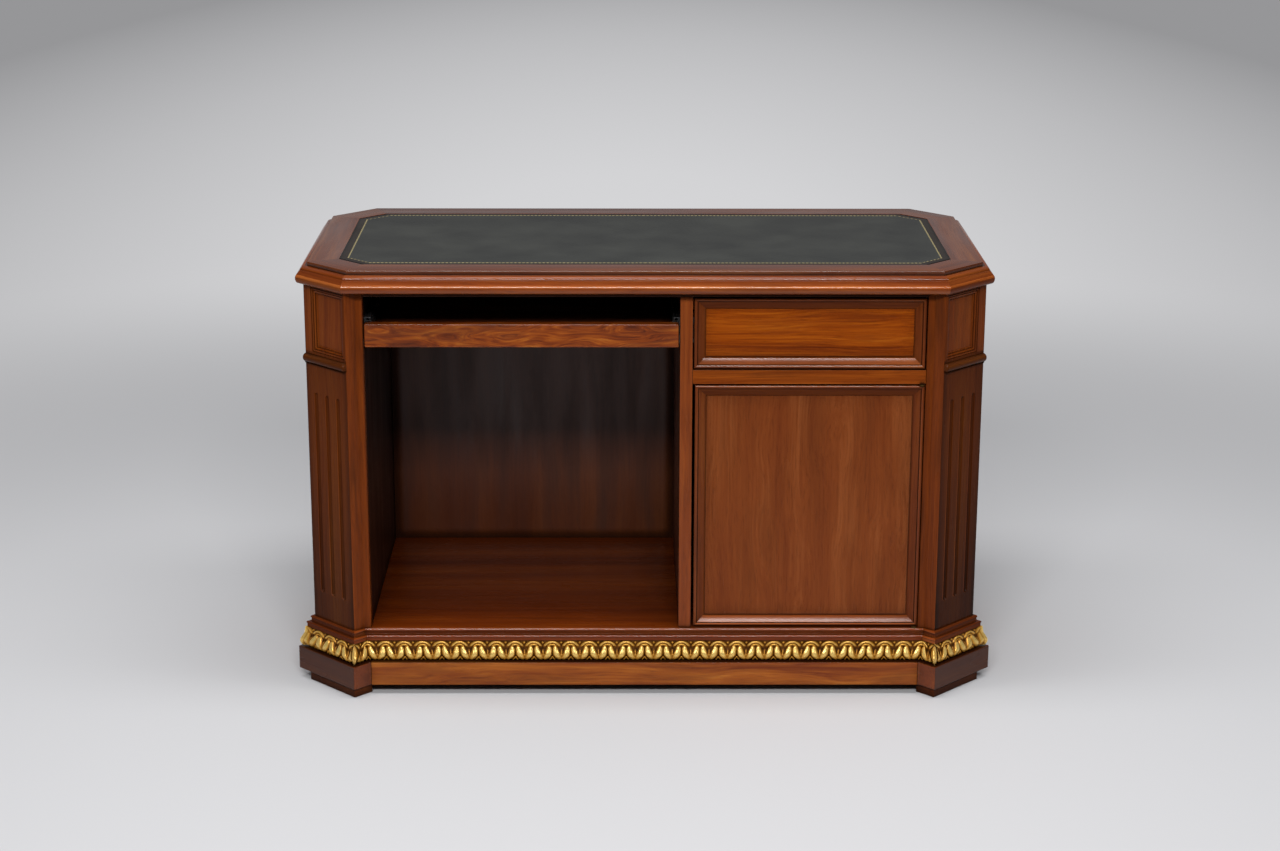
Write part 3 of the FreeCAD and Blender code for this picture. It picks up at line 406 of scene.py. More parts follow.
def easedBoards(node, wood, slot, ease):
    # each board of a node is twelve triangles: corners = lowest + unit cube * (highest - lowest)
    points = nodePoints(node).reshape(-1, 36, 3)
    low, high = points.min(1)[:, None], points.max(1)[:, None]
    low[..., 0] -= widened.get(node, 0) * mm
    high[..., 0] += widened.get(node, 0) * mm
    verts = low + cubeCorners * (high - low)
    count = len(verts)
    faces = (cubeFaces + 8 * np.arange(count)[:, None, None]).reshape(-1, 4).tolist()
    tones = np.repeat(dice.uniform(-1, 1, count), 8)
    if isinstance(wood, list):
        wood = (wood, np.tile([0, 0, 1, 0, 0, 0], count))
    makePiece(node, "_eased", (verts, faces), wood, slot, boardTone=tones, eased=ease * mm)


for node, (wood, slot, ease) in boards.items():
    easedBoards(node, wood, slot, ease)
print("boards eased:", len(boards))


# Plinth rails, corner blocks and feet: their solids' outlines with eased edges, and painted shade on the canted faces
plinth = {"ease": 1.0, "blockEase": 1.2, "blockToning": 0.68, "feetToning": 0.6}
cornerTurns = {"front_right": "rising", "back_right": "falling", "back_left": "rising", "front_left": "falling"}


def easedCopy(node, wood, ease, toning=0.0):
    work = bmesh.new()
    work.from_mesh(nodes[node].data)
    bmesh.ops.remove_doubles(work, verts=work.verts, dist=0.01 * mm)
    bmesh.ops.dissolve_limit(work, angle_limit=math.radians(1), verts=work.verts, edges=work.edges)
    verts = np.array([v.co for v in work.verts])
    work.verts.index_update()
    faces = [[v.index for v in face.verts] for face in work.faces]
    middles = np.array([face.calc_center_median() for face in work.faces])
    normals = np.array([face.normal for face in work.faces])
    work.free()
    # a canted face looks out along the diagonal of its own quarter
    canted = (normals[:, :2] * np.sign(middles[:, :2])).sum(1) / rootTwo > 0.9
    tones = np.full(len(verts), dice.uniform(-1, 1))
    # painted shade on the canted faces, which look away from the lamps
    makePiece(node, "_eased", (verts, faces), wood, boardTone=tones, glaze=canted * toning, eased=ease * mm)


for side, axis in (("front", "x"), ("back", "x"), ("left", "y"), ("right", "y")):
    easedCopy(f"plinth_{side}_rail", plinthWood[axis], plinth["ease"])
for corner, turn in cornerTurns.items():
    easedCopy("plinth_block_" + corner, cantedWood[turn], plinth["blockEase"], plinth["blockToning"])
easedCopy("feet", frontWood["x"], plinth["ease"], plinth["feetToning"])
print("plinth eased")


def quarter(start, end, hollow, count=8):
    # elliptic quarter from start to end, without the start: sine one way, 1 - cosine the other
    angle = np.linspace(0, math.pi / 2, count + 1)[1:]
    rise, run = np.sin(angle), 1 - np.cos(angle)
    share = np.stack([run, rise] if hollow else [rise, run], 1)
    start, end = np.array(start, float), np.array(end, float)
    return (start + share * (end - start)).tolist()


def gridFaces(n, m, closed=False):
    # quads between n sections of m points; the last section meets the first, or else two end faces follow
    i, j = np.arange(n if closed else n - 1)[:, None], np.arange(m)[None, :]
    far, wide = (i + 1) % n, (j + 1) % m
    faces = np.stack([i * m + j, far * m + j, far * m + wide, i * m + wide], -1).reshape(-1, 4).tolist()
    return faces if closed else faces + [list(range(m - 1, -1, -1)), list(range((n - 1) * m, n * m))]


def carryProfile(corners, outwards, upwards, profile, closed):
    # point(i, j) = corner i + offset j * mitre vector i + rise j * up vector; the map runs along the length
    # and across the profile in metres, and each length starts at its own place in the grain
    corners, outwards, upwards, profile = (np.asarray(v, float) for v in (corners, outwards, upwards, profile))
    verts = corners[:, None] + profile[None, :, :1] * outwards[:, None] + profile[None, :, 1:] * upwards
    n, m = len(corners), len(profile)
    here = np.arange(n if closed else n - 1)
    there, wide = (here + 1) % n, np.r_[1:m, 0]
    step = corners[there] - corners[here]
    unit = step / np.linalg.norm(step, axis=1, keepdims=True)
    start = dice.uniform(0, 9, (len(here), 1))
    near = np.einsum("njk,nk->nj", verts[here] - corners[here, None], unit) + start
    away = np.einsum("njk,nk->nj", verts[there] - corners[here, None], unit) + start
    across = np.concatenate([[0], np.cumsum(np.linalg.norm(np.diff(profile[np.r_[:m, 0]], axis=0), axis=1))])
    across = across + dice.uniform(0, 9, (len(here), 1))
    low, high = across[:, :m], across[:, 1:]
    loops = ((near, low), (away, low), (away[:, wide], high), (near[:, wide], high))
    uvs = np.stack([np.stack(pair, -1) for pair in loops], 2).reshape(-1, 2)
    if not closed:
        uvs = np.concatenate([uvs, profile[::-1], profile])
    return verts.reshape(-1, 3), gridFaces(n, m, closed), uvs


def joinShapes(shapes):
    # several worked-out shapes as one: points, faces, and a map or a row of values
    verts, faces, uvs, count = [], [], [], 0
    for points, quads, chart in shapes:
        verts.append(points)
        faces += [[index + count for index in face] for face in quads]
        uvs.append(chart)
        count += len(points)
    return np.concatenate(verts), faces, np.concatenate(uvs)


# Carcass outline in plan: four points at each canted corner, with the mitre vector that moves each one outwards
carcass = {"sidePlane": 579, "frontPlane": 269, "returnLeg": 16, "cantedLeg": 80}
postHalf = carcass["cantedLeg"] / rootTwo  # half the width of a canted face
cornerSigns = {"front_right": (1, -1), "back_right": (1, 1), "back_left": (-1, 1), "front_left": (-1, -1)}


def roundCorners(points, vectors):
    # points of one quarter of a plan and the vectors that move them, mirrored into each corner in turn
    turns = [1 if across * along < 0 else -1 for across, along in cornerSigns.values()]
    signs = [np.array([*sign, 1]) for sign in cornerSigns.values()]
    return [np.concatenate([(part * sign)[::turn] for sign, turn in zip(signs, turns)]) for part in (points, vectors)]


def brokenOutline():
    side, front = carcass["sidePlane"] * mm, carcass["frontPlane"] * mm
    leg, face = carcass["returnLeg"] * mm, carcass["cantedLeg"] * mm
    lean = rootTwo - 1
    points = np.array([[side - face, front, 0], [side + leg - face, front + leg, 0],
                       [side + leg, front + leg - face, 0], [side, front - face, 0]])
    return roundCorners(points, np.array([[-lean, 1, 0], [0, rootTwo, 0], [rootTwo, 0, 0], [1, -lean, 0]]))


outline, mitres = brokenOutline()
runs = {"right": [3, 4], "back": [7, 8], "left": [11, 12], "front": [15, 0]}
cornerRuns = {corner: list(range(4 * i, 4 * i + 4)) for i, corner in enumerate(cornerSigns)}

# Moulded top: border round the leather, quirk, bead, chamfer and rounded nosing
topEdge = {
    "halfLength": 608, "halfDepth": 298, "corner": 88, "low": 732, "high": 769, "edge": 21, "border": 53, "recess": 2.4,
    "rises": (0.25, 0.62, 0.64, 0.82),  # nosing, end of the chamfer, foot of the bead, quirk: shares of the thickness
    "insets": (0.28, 0.43, 0.90),  # foot of the nosing, foot and top of the bead: shares of the edge
    "noseRadius": 10, "chamfer": 39,  # mm, degrees from upright
    # painted shade in the quirk, on its riser, down the chamfer and over the canted lengths
    "quirkShade": 0.85, "riserShade": 0.35, "chamferShade": 0.34, "cantedShade": 0.26, "borderToning": 0.48,
}


def mouldedTop():
    look = topEdge
    low, high, edge = look["low"], look["high"], look["edge"]
    tall = high - low
    nose, neck, bead, quirk = (low + share * tall for share in look["rises"])
    root, beadRoot, beadTop = (share * edge for share in look["insets"])
    inner = edge + look["border"]
    profile = [(inner, low), (root, low)]
    profile += quarter((root, low), (0, nose), False)
    # the nosing turns back by the chamfer's angle: radius times 1 - cosine inwards and sine upwards
    lean = np.radians(np.linspace(0, look["chamfer"], 8))[1:]
    arc = np.stack([1 - np.cos(lean), np.sin(lean)], 1) * look["noseRadius"] + [0, nose]
    back = arc[-1, 0] + (neck - arc[-1, 1]) * math.tan(lean[-1])
    foot = len(profile) + len(arc) - 1
    profile += arc.tolist() + np.linspace(arc[-1], (back, neck), 6)[1:].tolist() + [(max(back, beadRoot), bead)]
    profile += quarter((max(back, beadRoot), bead), (beadTop, quirk), True)
    ledge = len(profile) - 1
    # both arrises of the border are eased by less than a millimetre
    profile += [(edge, quirk), (edge, high - 0.8), (edge + 0.3, high - 0.2), (edge + 1, high)]
    profile += [(inner - 0.6, high), (inner, high - 0.4), (inner, high - look["recess"])]
    profile = np.array(profile) * mm
    # painted shade in the quirk and on its riser, fading down the chamfer, and a toned border, by strips of the profile
    glaze = np.zeros(len(profile) - 1)
    glaze[foot:foot + 6] = np.linspace(0, 1, 6) * look["chamferShade"]
    glaze[ledge - 1:ledge + 1] = look["quirkShade"]
    glaze[ledge + 1] = look["riserShade"]
    glaze[ledge + 2:] = look["borderToning"]
    x, y, leg = look["halfLength"] * mm, look["halfDepth"] * mm, look["corner"] * mm
    lean = rootTwo - 1
    points = np.array([[x - leg, y, 0], [x, y - leg, 0]])
    points, inwards = roundCorners(points, np.array([[-lean, -1, 0], [-1, -lean, 0]]))
    verts, faces, uvs = carryProfile(points, inwards, (0, 0, 1), profile, True)
    count = len(profile)
    floorLoop = [i * count + count - 1 for i in range(8)]
    underLoop = [i * count for i in range(7, -1, -1)]
    # the last strip of the carried profile would close the section, so it gives way to two flat plates
    keep = [k for k in range(len(faces)) if k % count != count - 1]
    uvs = uvs.reshape(-1, 4, 2)[keep].reshape(-1, 2)
    faces = [faces[k] for k in keep] + [floorLoop, underLoop]
    uvs = np.concatenate([uvs, verts[floorLoop][:, :2], verts[underLoop][:, :2]])
    # painted shade over the canted lengths
    canted = np.maximum(glaze, look["cantedShade"])  # every other length, from the first on
    glaze = np.concatenate([np.tile(np.concatenate([canted, glaze]), 4), [0, 0]])
    strip = np.arange(count - 1)
    # painted highlight: the paler wood on the rounded nosing's strips
    highlitStrips = (strip > foot - len(arc) + 1) & (strip < foot)
    finish = np.concatenate([np.tile(np.where(strip > ledge, 1, np.where(highlitStrips, 2, 0)), 8), [1, 1]])
    makePiece("top_board", "_moulded", (verts, faces, uvs), ([edgeWood, topWood, noseWood], finish), glaze=glaze)


mouldedTop()
print("top moulded")

# Mitred frame mouldings: flat-sided bead at the outer edge, quirk, then a long shallow hollow down to the field
frameMoulding = {
    "width": 19.5, "rise": 8, "field": 261, "sideField": 571,  # mm; the fields are the planes that the frames lie on
    # shares of the width and of the rise
    "bead": ((0.026, 0.875), (0.123, 0.984), (0.149, 1.0), (0.174, 0.984), (0.267, 0.875)), "spring": 0.82,
    "quirk": ((0.285, 0.70), (0.335, 0.70)), "shoulder": (0.355, 0.80), "toe": (0.90, 0.11), "edge": 0.10, "bend": 0.17,
    # painted shade: toning of the side and top bars' hollows, the quirk, the toe and the outer edge
    "toning": 0.16, "topToning": 0.42, "quirkToning": 0.75, "toeToning": 0.5, "edgeToning": 0.7,
}


def frameProfile():
    look = frameMoulding
    crown, shoulder, toe = (np.array(look[key]) for key in ("bead", "shoulder", "toe"))
    # each side of the bead is flat, so that it mirrors one light
    sides = [np.linspace(crown[0], crown[1], 4), crown[2:3], np.linspace(crown[3], crown[4], 4)]
    # the hollow falls by 1.17 times the share of its width less 0.17 times the share squared
    share = np.linspace(0, 1, 13)
    fall = (1 + look["bend"]) * share - look["bend"] * share ** 2
    hollow = shoulder + np.stack([share, fall], 1) * (toe - shoulder)
    outer, inner = [(0, 0), (0, look["spring"])], [(1, look["edge"]), (1, 0)]
    profile = np.concatenate([outer, *sides, look["quirk"], hollow, inner])
    return profile[::-1] * [look["width"] * mm, look["rise"] * mm]


def frameFinish(count):
    # by strips of the profile, for the bottom, right, top and left bar of each frame: painted shade in the quirk, at
    # the toe and on the outer edge, and down the hollow of all but the bottom bar, darkest on the top bar; a paler
    # painted highlight on the bottom bar's hollow and inner bead, and on the top bar's outer bead
    look = frameMoulding
    share = frameProfile()[:, 0] / (look["width"] * mm)
    middle = (share + np.roll(share, -1)) / 2
    outer, outerTop, _, innerTop, inner = (point[0] for point in look["bead"])
    shoulder, toe = look["shoulder"][0], look["toe"][0]
    strips = np.where((middle > inner) & (middle < shoulder), look["quirkToning"], 0.0)
    strips = np.where(middle > toe, look["toeToning"], np.where(middle == 0, look["edgeToning"], strips))
    side, top = (np.where(middle > shoulder, np.maximum(strips, look[key]), strips) for key in ("toning", "topToning"))
    highlitStrips = ((middle > shoulder) & (middle < toe)) | ((middle > innerTop) & (middle < inner))
    highlitTop = (middle > outer) & (middle < outerTop)
    plain = np.zeros(len(share), bool)
    picks = np.tile(np.concatenate([highlitStrips, plain, highlitTop, plain]), count)
    return ([frameWood, highlightWood], picks), np.tile(np.concatenate([strips, side, top, side]), count)


def panelFrame(origin, across, out, low, high):
    # corners of a rectangle on the plane through origin, with inward mitre vectors; rise is along the outward normal
    origin, across, out = (np.array(v, float) for v in (origin, across, out))
    up = np.array([0, 0, 1.0])
    (left, bottom), (right, top) = low, high
    signs = ((left, bottom, 1, 1), (right, bottom, -1, 1), (right, top, -1, -1), (left, top, 1, -1))
    corners = [origin + a * across + b * up for a, b, _, _ in signs]
    inwards = [p * across + q * up for _, _, p, q in signs]
    return carryProfile(corners, inwards, out, frameProfile(), True)


def carvedFrames(node, rings):
    finish, glaze = frameFinish(len(rings))
    makePiece(node, "_carved", joinShapes(rings), finish, glaze=glaze)


field, sideField = frameMoulding["field"] * mm, frameMoulding["sideField"] * mm
for node in ("drawer_front_moulding", "door_moulding"):
    low, high = nodePoints(node).min(0), nodePoints(node).max(0)
    carvedFrames(node, [panelFrame((0, -field, 0), (1, 0, 0), (0, -1, 0), low[[0, 2]], high[[0, 2]])])

# Panels of the sides and the back, in two tiers
panelling = {"low": 118, "railLow": 567, "railHigh": 592.5, "high": 722, "sideHalf": 177, "backHalf": 487, "stile": 22}


def panelMouldings():
    look = panelling
    tiers = [(look["low"] * mm, look["railLow"] * mm), (look["railHigh"] * mm, look["high"] * mm)]
    half = look["sideHalf"] * mm
    for node, sign in (("left_side_mouldings", -1), ("right_side_mouldings", 1)):
        carvedFrames(node, [panelFrame((sign * sideField, 0, 0), (0, sign, 0), (sign, 0, 0), (-half, low), (half, high))
                            for low, high in tiers])
    half, stile = look["backHalf"] * mm, look["stile"] * mm
    bay = (2 * half - 2 * stile) / 3
    rings = []
    for low, high in tiers:
        for index in range(3):
            start = -half + index * (bay + stile)
            rings.append(panelFrame((0, field, 0), (-1, 0, 0), (0, 1, 0), (start, low), (start + bay, high)))
    carvedFrames("back_mouldings", rings)


panelMouldings()
print("frames carved")

# Base cap: a small bead at the top, a riser, a rounded nosing and a plain fascia over the gilt moulding
baseCap = {
    "low": 97, "high": 118, "reach": 11, "cornered": 1,  # mm; the fascia stands back from the nosing by the last
    # shares of the height: fascia, nosing, its back, riser, bead and its crown
    "rises": (0.26, 0.35, 0.47, 0.55, 0.74, 0.83),
    "reaches": (0.72, 0.68, 0.39, 0.49),  # shares of the reach: back of the nosing, its root, riser, bead
    # painted shade: toning of the fascia, the riser and the canted lengths
    "fascia": 0.27, "riser": (0.50, 0.76), "fasciaToning": 0.20, "riserToning": 0.30, "cantedToning": 0.55,
}


def capProfile():
    low, high, reach = baseCap["low"], baseCap["high"], baseCap["reach"]
    tall = high - low
    fascia, nose, edge, riser, beadLow, crown = (low + share * tall for share in baseCap["rises"])
    rounded, root, neck, bead = (share * reach for share in baseCap["reaches"])
    back = reach - baseCap["cornered"]
    profile = [(0, low), (back, low), (back, fascia)]
    profile += quarter((back, fascia), (reach, nose), False, 4)
    profile += quarter((reach, nose), (rounded, edge), True, 6) + [(root, edge)]
    profile += quarter((root, edge), (neck, riser), False, 4) + [(neck, beadLow)]
    profile += quarter((neck, beadLow), (bead, crown), False, 4)
    profile += quarter((bead, crown), (0.5 * neck, high), True, 6) + [(0, high)]
    return np.array(profile) * mm


def capShade(toned):
    # painted shade on the fascia and riser, clear nosing and bead, by strips of each length's profile and then the two
    # ends;
    # a length marked as toned, the canted one, is dark all over with painted shade
    rise = (capProfile()[:, 1] / mm - baseCap["low"]) / (baseCap["high"] - baseCap["low"])
    middle = (rise + np.roll(rise, -1)) / 2
    low, high = baseCap["riser"]
    strips = np.where((middle > low) & (middle < high), baseCap["riserToning"], 0.0)
    strips = np.where(middle < baseCap["fascia"], baseCap["fasciaToning"], strips)
    lengths = [np.maximum(strips, baseCap["cantedToning"] * mark) for mark in toned]
    return np.concatenate(lengths + [[0, 0]])


# Half-round bar across each canted face at the drawer's lower edge, with round ends at both arrises
bead = {"low": 590, "tall": 18, "reach": 8.5, "lip": 3, "lipReach": 3, "lipToning": 0.8, "endTurn": 0.6, "endReach": 5}


def beadProfile():
    low, reach, high = bead["low"], bead["reach"], bead["low"] + bead["tall"]
    lip = low + bead["lip"]
    middle = (lip + high) / 2
    profile = [(0, low), (bead["lipReach"], low), (bead["lipReach"], lip)]
    profile += quarter((bead["lipReach"], lip), (reach, middle), False) + quarter((reach, middle), (0, high), True)
    return np.array(profile) * mm


def beadBar(corner):
    # round ends: within a few millimetres of each end the section shrinks to its middle by a part of a quarter circle
    across, along = cornerSigns[corner]
    normal = np.array([across, along, 0]) / rootTwo
    start, end = outline[cornerRuns[corner][1:3]]
    length = np.linalg.norm(end - start)
    turn = np.linspace(bead["endTurn"], math.pi / 2, 8)
    inset = (np.cos(turn[0]) - np.cos(turn)) * bead["endReach"] * mm
    inset = np.concatenate([inset, length - inset[::-1]])
    size = np.concatenate([np.sin(turn), np.sin(turn)[::-1]])
    at = start + (inset / length)[:, None] * (end - start)
    profile, middle = beadProfile(), (bead["low"] + bead["tall"] / 2) * mm
    _, faces, uvs = carryProfile(at, np.tile(normal, (len(at), 1)), (0, 0, 1), profile, False)
    verts = at[:, None] + (size[:, None] * profile[:, 0])[..., None] * normal
    verts[..., 2] = middle + size[:, None] * (profile[:, 1] - middle)
    return verts.reshape(-1, 3), faces, uvs


def carriedCap(steps):
    return carryProfile(outline[steps], mitres[steps], (0, 0, 1), capProfile(), False)


for side, steps in runs.items():
    makePiece("base_cap_" + side, "_carved", carriedCap(steps), capWood, glaze=capShade([0]))
caps = joinShapes([carriedCap(steps) for steps in cornerRuns.values()])
makePiece("base_cap_corners", "_carved", caps, capWood, glaze=np.tile(capShade([0, 1, 0]), 4))
bars = joinShapes([beadBar(corner) for corner in cornerSigns])
# the first two strips of each section are the lip, dark with painted shade under the bar, and two end faces close each
# bar
strips = np.where(np.arange(len(beadProfile())) < 2, bead["lipToning"], 0)
lengths = (len(bars[1]) // len(cornerSigns) - 2) // len(strips)
makePiece("pilaster_beads", "_carved", bars, beadWood,
          glaze=np.tile(np.append(np.tile(strips, lengths), [0, 0]), len(cornerSigns)))
print("caps and beads carved")

# Canted corner posts: three stopped flutes under a bead, and a sunk frieze panel in a moulded frame
pilaster = {
    "low": 59, "high": 732, "arris": 1.0, "stile": 12, "stileThickness": 20, "notch": 16,
    "fluteRadius": 5, "flutePitch": 30, "fluteLow": 168, "fluteHigh": 539, "rows": (200, 520, 20),  # mm
    "friezeMargin": 12, "friezeShift": 8, "friezeLow": 612, "friezeHigh": 728,
    "quirks": ((0, 1.4), (4.2, 5.6), (8.6, 10.2)), "quirkToning": 0.65,  # painted shade in the steps of the frieze's frame
    # painted shade on each canted face, darkest on the front right, faint on the frieze and deeper in the flutes; a
    # lighter strip of painted highlight at one edge of each flute
    "toning": {"front_right": 0.54, "back_right": 0.44, "back_left": 0.44, "front_left": 0.44}, "friezeToning": 0.05,
    "fluteToning": 0.16, "fluteShade": 1.2, "highlightEdge": 1.4, "highlightToning": 0.16,
    "footToning": 0.25, "footReach": (120, 420), "edgeToning": 0.22, "edgeReach": 14,
}
friezeSteps = np.array([[0, 0], [0.4, 1.6], [1.4, 1.8], [2.2, 0.8], [4.2, 0.9], [4.6, 2.6], [5.6, 2.8], [6.4, 2.0],
                        [8.6, 2.6], [9.2, 4.4], [10.2, 4.6], [10.8, 4.2], [11.6, 5.0], [12.0, 6.0]])


def postOutline():
    # plan of a post, u along the canted face and w outwards: right half from the arris inwards, then its mirror
    half, deep = postHalf, carcass["returnLeg"] * rootTwo
    stile, thick, notch = (pilaster[k] / rootTwo for k in ("stile", "stileThickness", "notch"))
    soft = pilaster["arris"]
    right = [(half - soft, 0), (half - 0.3 * soft, -0.3 * soft), (half, -soft), (half, -deep),
             (half + stile - soft, -deep - stile + soft), (half + stile - soft, -deep - stile - soft),
             (half + stile - thick, -deep - stile - thick),
             (half + stile - thick - notch, -deep - stile - thick + notch),
             (half + stile - thick - 2 * notch, -deep - stile - thick)]
    right = np.array(right)
    return right, (right * [-1, 1])[::-1]


def fluteDepth(u, z):
    # half-round groove with round ends: square root of r squared less the squared distance to the flute's middle line
    look = pilaster
    radius, pitch = look["fluteRadius"], look["flutePitch"]
    middle = np.clip(np.round(u / pitch), -1, 1) * pitch
    beyond = np.maximum(np.maximum(look["fluteLow"] + radius - z, z - look["fluteHigh"] + radius), 0)
    return np.sqrt(np.maximum(radius ** 2 - (u - middle) ** 2 - beyond ** 2, 0))


def friezeInset(u, z, shift):
    # distance in from the nearest edge of the frieze's frame, less than nothing outside it
    half = postHalf - pilaster["friezeMargin"]
    return np.minimum(np.minimum(half - np.abs(u - shift), z - pilaster["friezeLow"]), pilaster["friezeHigh"] - z)


def cantedPost(corner):
    look = pilaster
    across, along = cornerSigns[corner]
    shift = across * along * look["friezeShift"]
    right, left = postOutline()
    bow = look["fluteRadius"] * np.sin(np.radians(np.linspace(-90, 90, 13)))
    half = postHalf - look["friezeMargin"]
    # columns at each flute's edge and at the end of its strip of painted highlight
    wearAndHighlight = look["fluteRadius"] + look["highlightEdge"]
    shade = postHalf - np.linspace(0.25, 1, 4) * look["edgeReach"]
    flutes = [np.append(bow, [-wearAndHighlight, wearAndHighlight]) + k * look["flutePitch"] for k in (-1, 0, 1)]
    frieze = [shift + sign * (half - friezeSteps[:, 0]) for sign in (-1, 1)]
    face = np.unique(np.round(np.concatenate([shade, -shade, *flutes, *frieze]), 4))
    ends = look["fluteRadius"] * (1 - np.cos(np.radians(np.linspace(0, 90, 9))))
    rows = np.concatenate([[look["low"], look["high"]], look["fluteLow"] + ends, look["fluteHigh"] - ends,
                           look["friezeLow"] + friezeSteps[:, 0], look["friezeHigh"] - friezeSteps[:, 0],
                           np.arange(*look["rows"])])
    rows = np.unique(np.round(rows, 4))
    plan = np.concatenate([right, left, np.stack([face, 0 * face], 1)])
    onFace = np.arange(len(plan)) >= len(right) + len(left)
    u, z = np.meshgrid(plan[:, 0], rows)
    sunk = np.interp(friezeInset(u, z, shift), friezeSteps[:, 0], friezeSteps[:, 1])
    w = plan[:, 1] - np.where(onFace, fluteDepth(u, z) + sunk, 0)
    reach = carcass["returnLeg"] - carcass["cantedLeg"] / 2
    centre = np.array([across * (carcass["sidePlane"] + reach), along * (carcass["frontPlane"] + reach)])
    normal = np.array([across, along]) / rootTwo
    tangent = np.array([-normal[1], normal[0]])
    flat = centre + u[..., None] * tangent + w[..., None] * normal
    verts = np.concatenate([flat, z[..., None]], -1) * mm
    n, m = u.shape
    faces = gridFaces(n, m)
    faces[-2:] = [face[::-1] for face in faces[-2:]]  # foot and head look outwards
    # painted shade: toned canted face, darker in the flutes and in the frieze's quirk
    uMid = (u[:-1] + np.roll(u, -1, 1)[:-1]) / 2
    zMid = (z[:-1] + z[1:]) / 2
    inset = friezeInset(uMid, zMid, shift)
    toning = np.where(zMid > bead["low"] + bead["tall"], look["friezeToning"], look["toning"][corner])
    toning += np.interp(zMid, look["footReach"], [look["footToning"], 0])  # darker towards the foot
    toning += np.interp(postHalf - np.abs(uMid), [0, look["edgeReach"]], [look["edgeToning"], 0])  # and the arrises
    depth, nextDepth = fluteDepth(uMid, zMid), fluteDepth(uMid + look["highlightEdge"], zMid)
    toning = np.where((depth == 0) & (nextDepth > 0), look["highlightToning"], toning)  # painted highlight: lighter at one edge of each flute
    toning += np.where(depth > look["fluteShade"], look["fluteToning"], 0)
    for start, end in look["quirks"]:
        toning = np.where((inset > start) & (inset < end), look["quirkToning"], toning)
    toning[:, :len(right) + len(left) - 1] = 0
    tones = np.full(n * m, dice.uniform(-1, 1))
    makePiece("corner_pilaster_" + corner, "_fluted", (verts, faces), postWood, boardTone=tones,
              glaze=np.append(toning, [0, 0]), sharp=28)


for corner in cornerSigns:
    cantedPost(corner)
print("posts fluted")

# Carved leaf moulding: fat lobes that join in a U at the middle of each unit and meet in pairs at its ends, a double
# arch over each pair, a dart below it, a small fan between the arches and one palmette at each arris
giltLook = {
    "low": 59, "high": 97, "unit": 32.8, "relief": 5.4, "columns": 32, "rows": 64, "faceOffset": 16,
    "lobeHeights": (2, 4, 8, 14, 20, 25), "lobeWidths": (3.8, 4.8, 6.3, 6.7, 6.0, 4.8),
    # the lobes' feet and the arches are given lower heights, so they sit further back and take darker colour: partly
    # painted shade
    "lobeLevels": (2, 8, 16), "lobeShares": (0.58, 0.76, 1), "strand": 3.4, "strandDepth": 0.06,
    "hollow": 0.08, "hollowFrom": 6, "neck": 0.12, "neckFrom": 25, "dartWidth": 1.4, "dartShare": 0.6,
    "veinWidth": 1.7, "veinHeights": (9, 12, 21, 25), "veinShares": (0, 0.5, 0.5, 0),
    "archRadii": (8.0, 13.6), "archShares": (0.66, 0.76), "archWidth": 2.7, "archSquash": 1.23, "archHeight": 24,
    "archFade": 4, "fanHeight": 34, "fanWidth": 2.4, "fanShare": 0.6,
    "palmWidth": 6.5, "palmHeights": (1, 36), "palmRib": 2.6, "palmRibDepth": 0.1,
}
giltSection = np.array([[7, 0], [7, 0.8], [16.8, 1.2], [18.8, 5], [20, 10], [19.4, 14], [17.8, 18], [15.8, 22],
                        [14, 26], [13.4, 30], [13, 34], [12.6, 38]])
lobeLine = np.array([[3.6, 3.6], [6.2, 8.0], [8.5, 14.0], [10.0, 20.0], [11.0, 23.5]])
dartLine = np.array([[0, 9.0], [4.0, 2.0]])


def toLine(x, y, line):
    # distance from each point to a broken line
    best = np.full(x.shape, 1e9)
    for (ax, ay), (bx, by) in zip(line, line[1:]):
        dx, dy = bx - ax, by - ay
        t = np.clip(((x - ax) * dx + (y - ay) * dy) / (dx * dx + dy * dy), 0, 1)
        best = np.minimum(best, np.hypot(x - ax - t * dx, y - ay - t * dy))
    return best


def swell(distance, width):
    # full round ridge: square root of 1 less the share of its half width to the power 2.4
    return np.sqrt(np.clip(1 - np.abs(distance / width) ** 2.4, 0, 1))


def leafRelief(x, y):
    # relief from 0 to 1 at x across one unit from its middle and y up from the foot, both in mm
    look = giltLook
    x = np.abs(x)
    joint = look["unit"] / 2 - x
    lobe = toLine(x, y, lobeLine)
    leaf = swell(lobe, np.interp(y, look["lobeHeights"], look["lobeWidths"]))
    leaf *= np.interp(y, look["lobeLevels"], look["lobeShares"])
    leaf *= 1 - look["strandDepth"] * (1 - np.cos(2 * math.pi * lobe / look["strand"]))  # fine strands down each lobe
    inside = (x < np.interp(y, lobeLine[:, 1], lobeLine[:, 0])) & (y > look["hollowFrom"])
    hollow = np.where(inside, look["hollow"], 0)
    vein = swell(x, look["veinWidth"]) * np.interp(y, look["veinHeights"], look["veinShares"])  # a blade inside each U
    neck = np.where(y > look["neckFrom"], look["neck"], 0)
    dart = swell(toLine(joint, y, dartLine), look["dartWidth"]) * look["dartShare"]
    spread = np.hypot(joint, (y - look["archHeight"]) * look["archSquash"])
    above = np.clip((y - look["archHeight"] - 1) / look["archFade"], 0, 1)
    arches = [swell(spread - radius, look["archWidth"]) * share * above
              for radius, share in zip(look["archRadii"], look["archShares"])]
    fan = swell(np.hypot(x, y - look["fanHeight"]), look["fanWidth"]) * look["fanShare"]
    return np.max([leaf, dart, hollow, vein, neck, fan, *arches], axis=0)


def palmRelief(away, y):
    # ribbed leaf upright on an arris, by the distance away from it; its half width is a sine arch of the height
    look = giltLook
    low, high = look["palmHeights"]
    width = look["palmWidth"] * np.sin(math.pi * np.clip((y - low) / (high - low), 0, 1)) ** 0.6 + 0.01
    ribs = 1 - look["palmRibDepth"] * (1 - np.cos(2 * math.pi * away / look["palmRib"]))
    return swell(away, width) * ribs, width


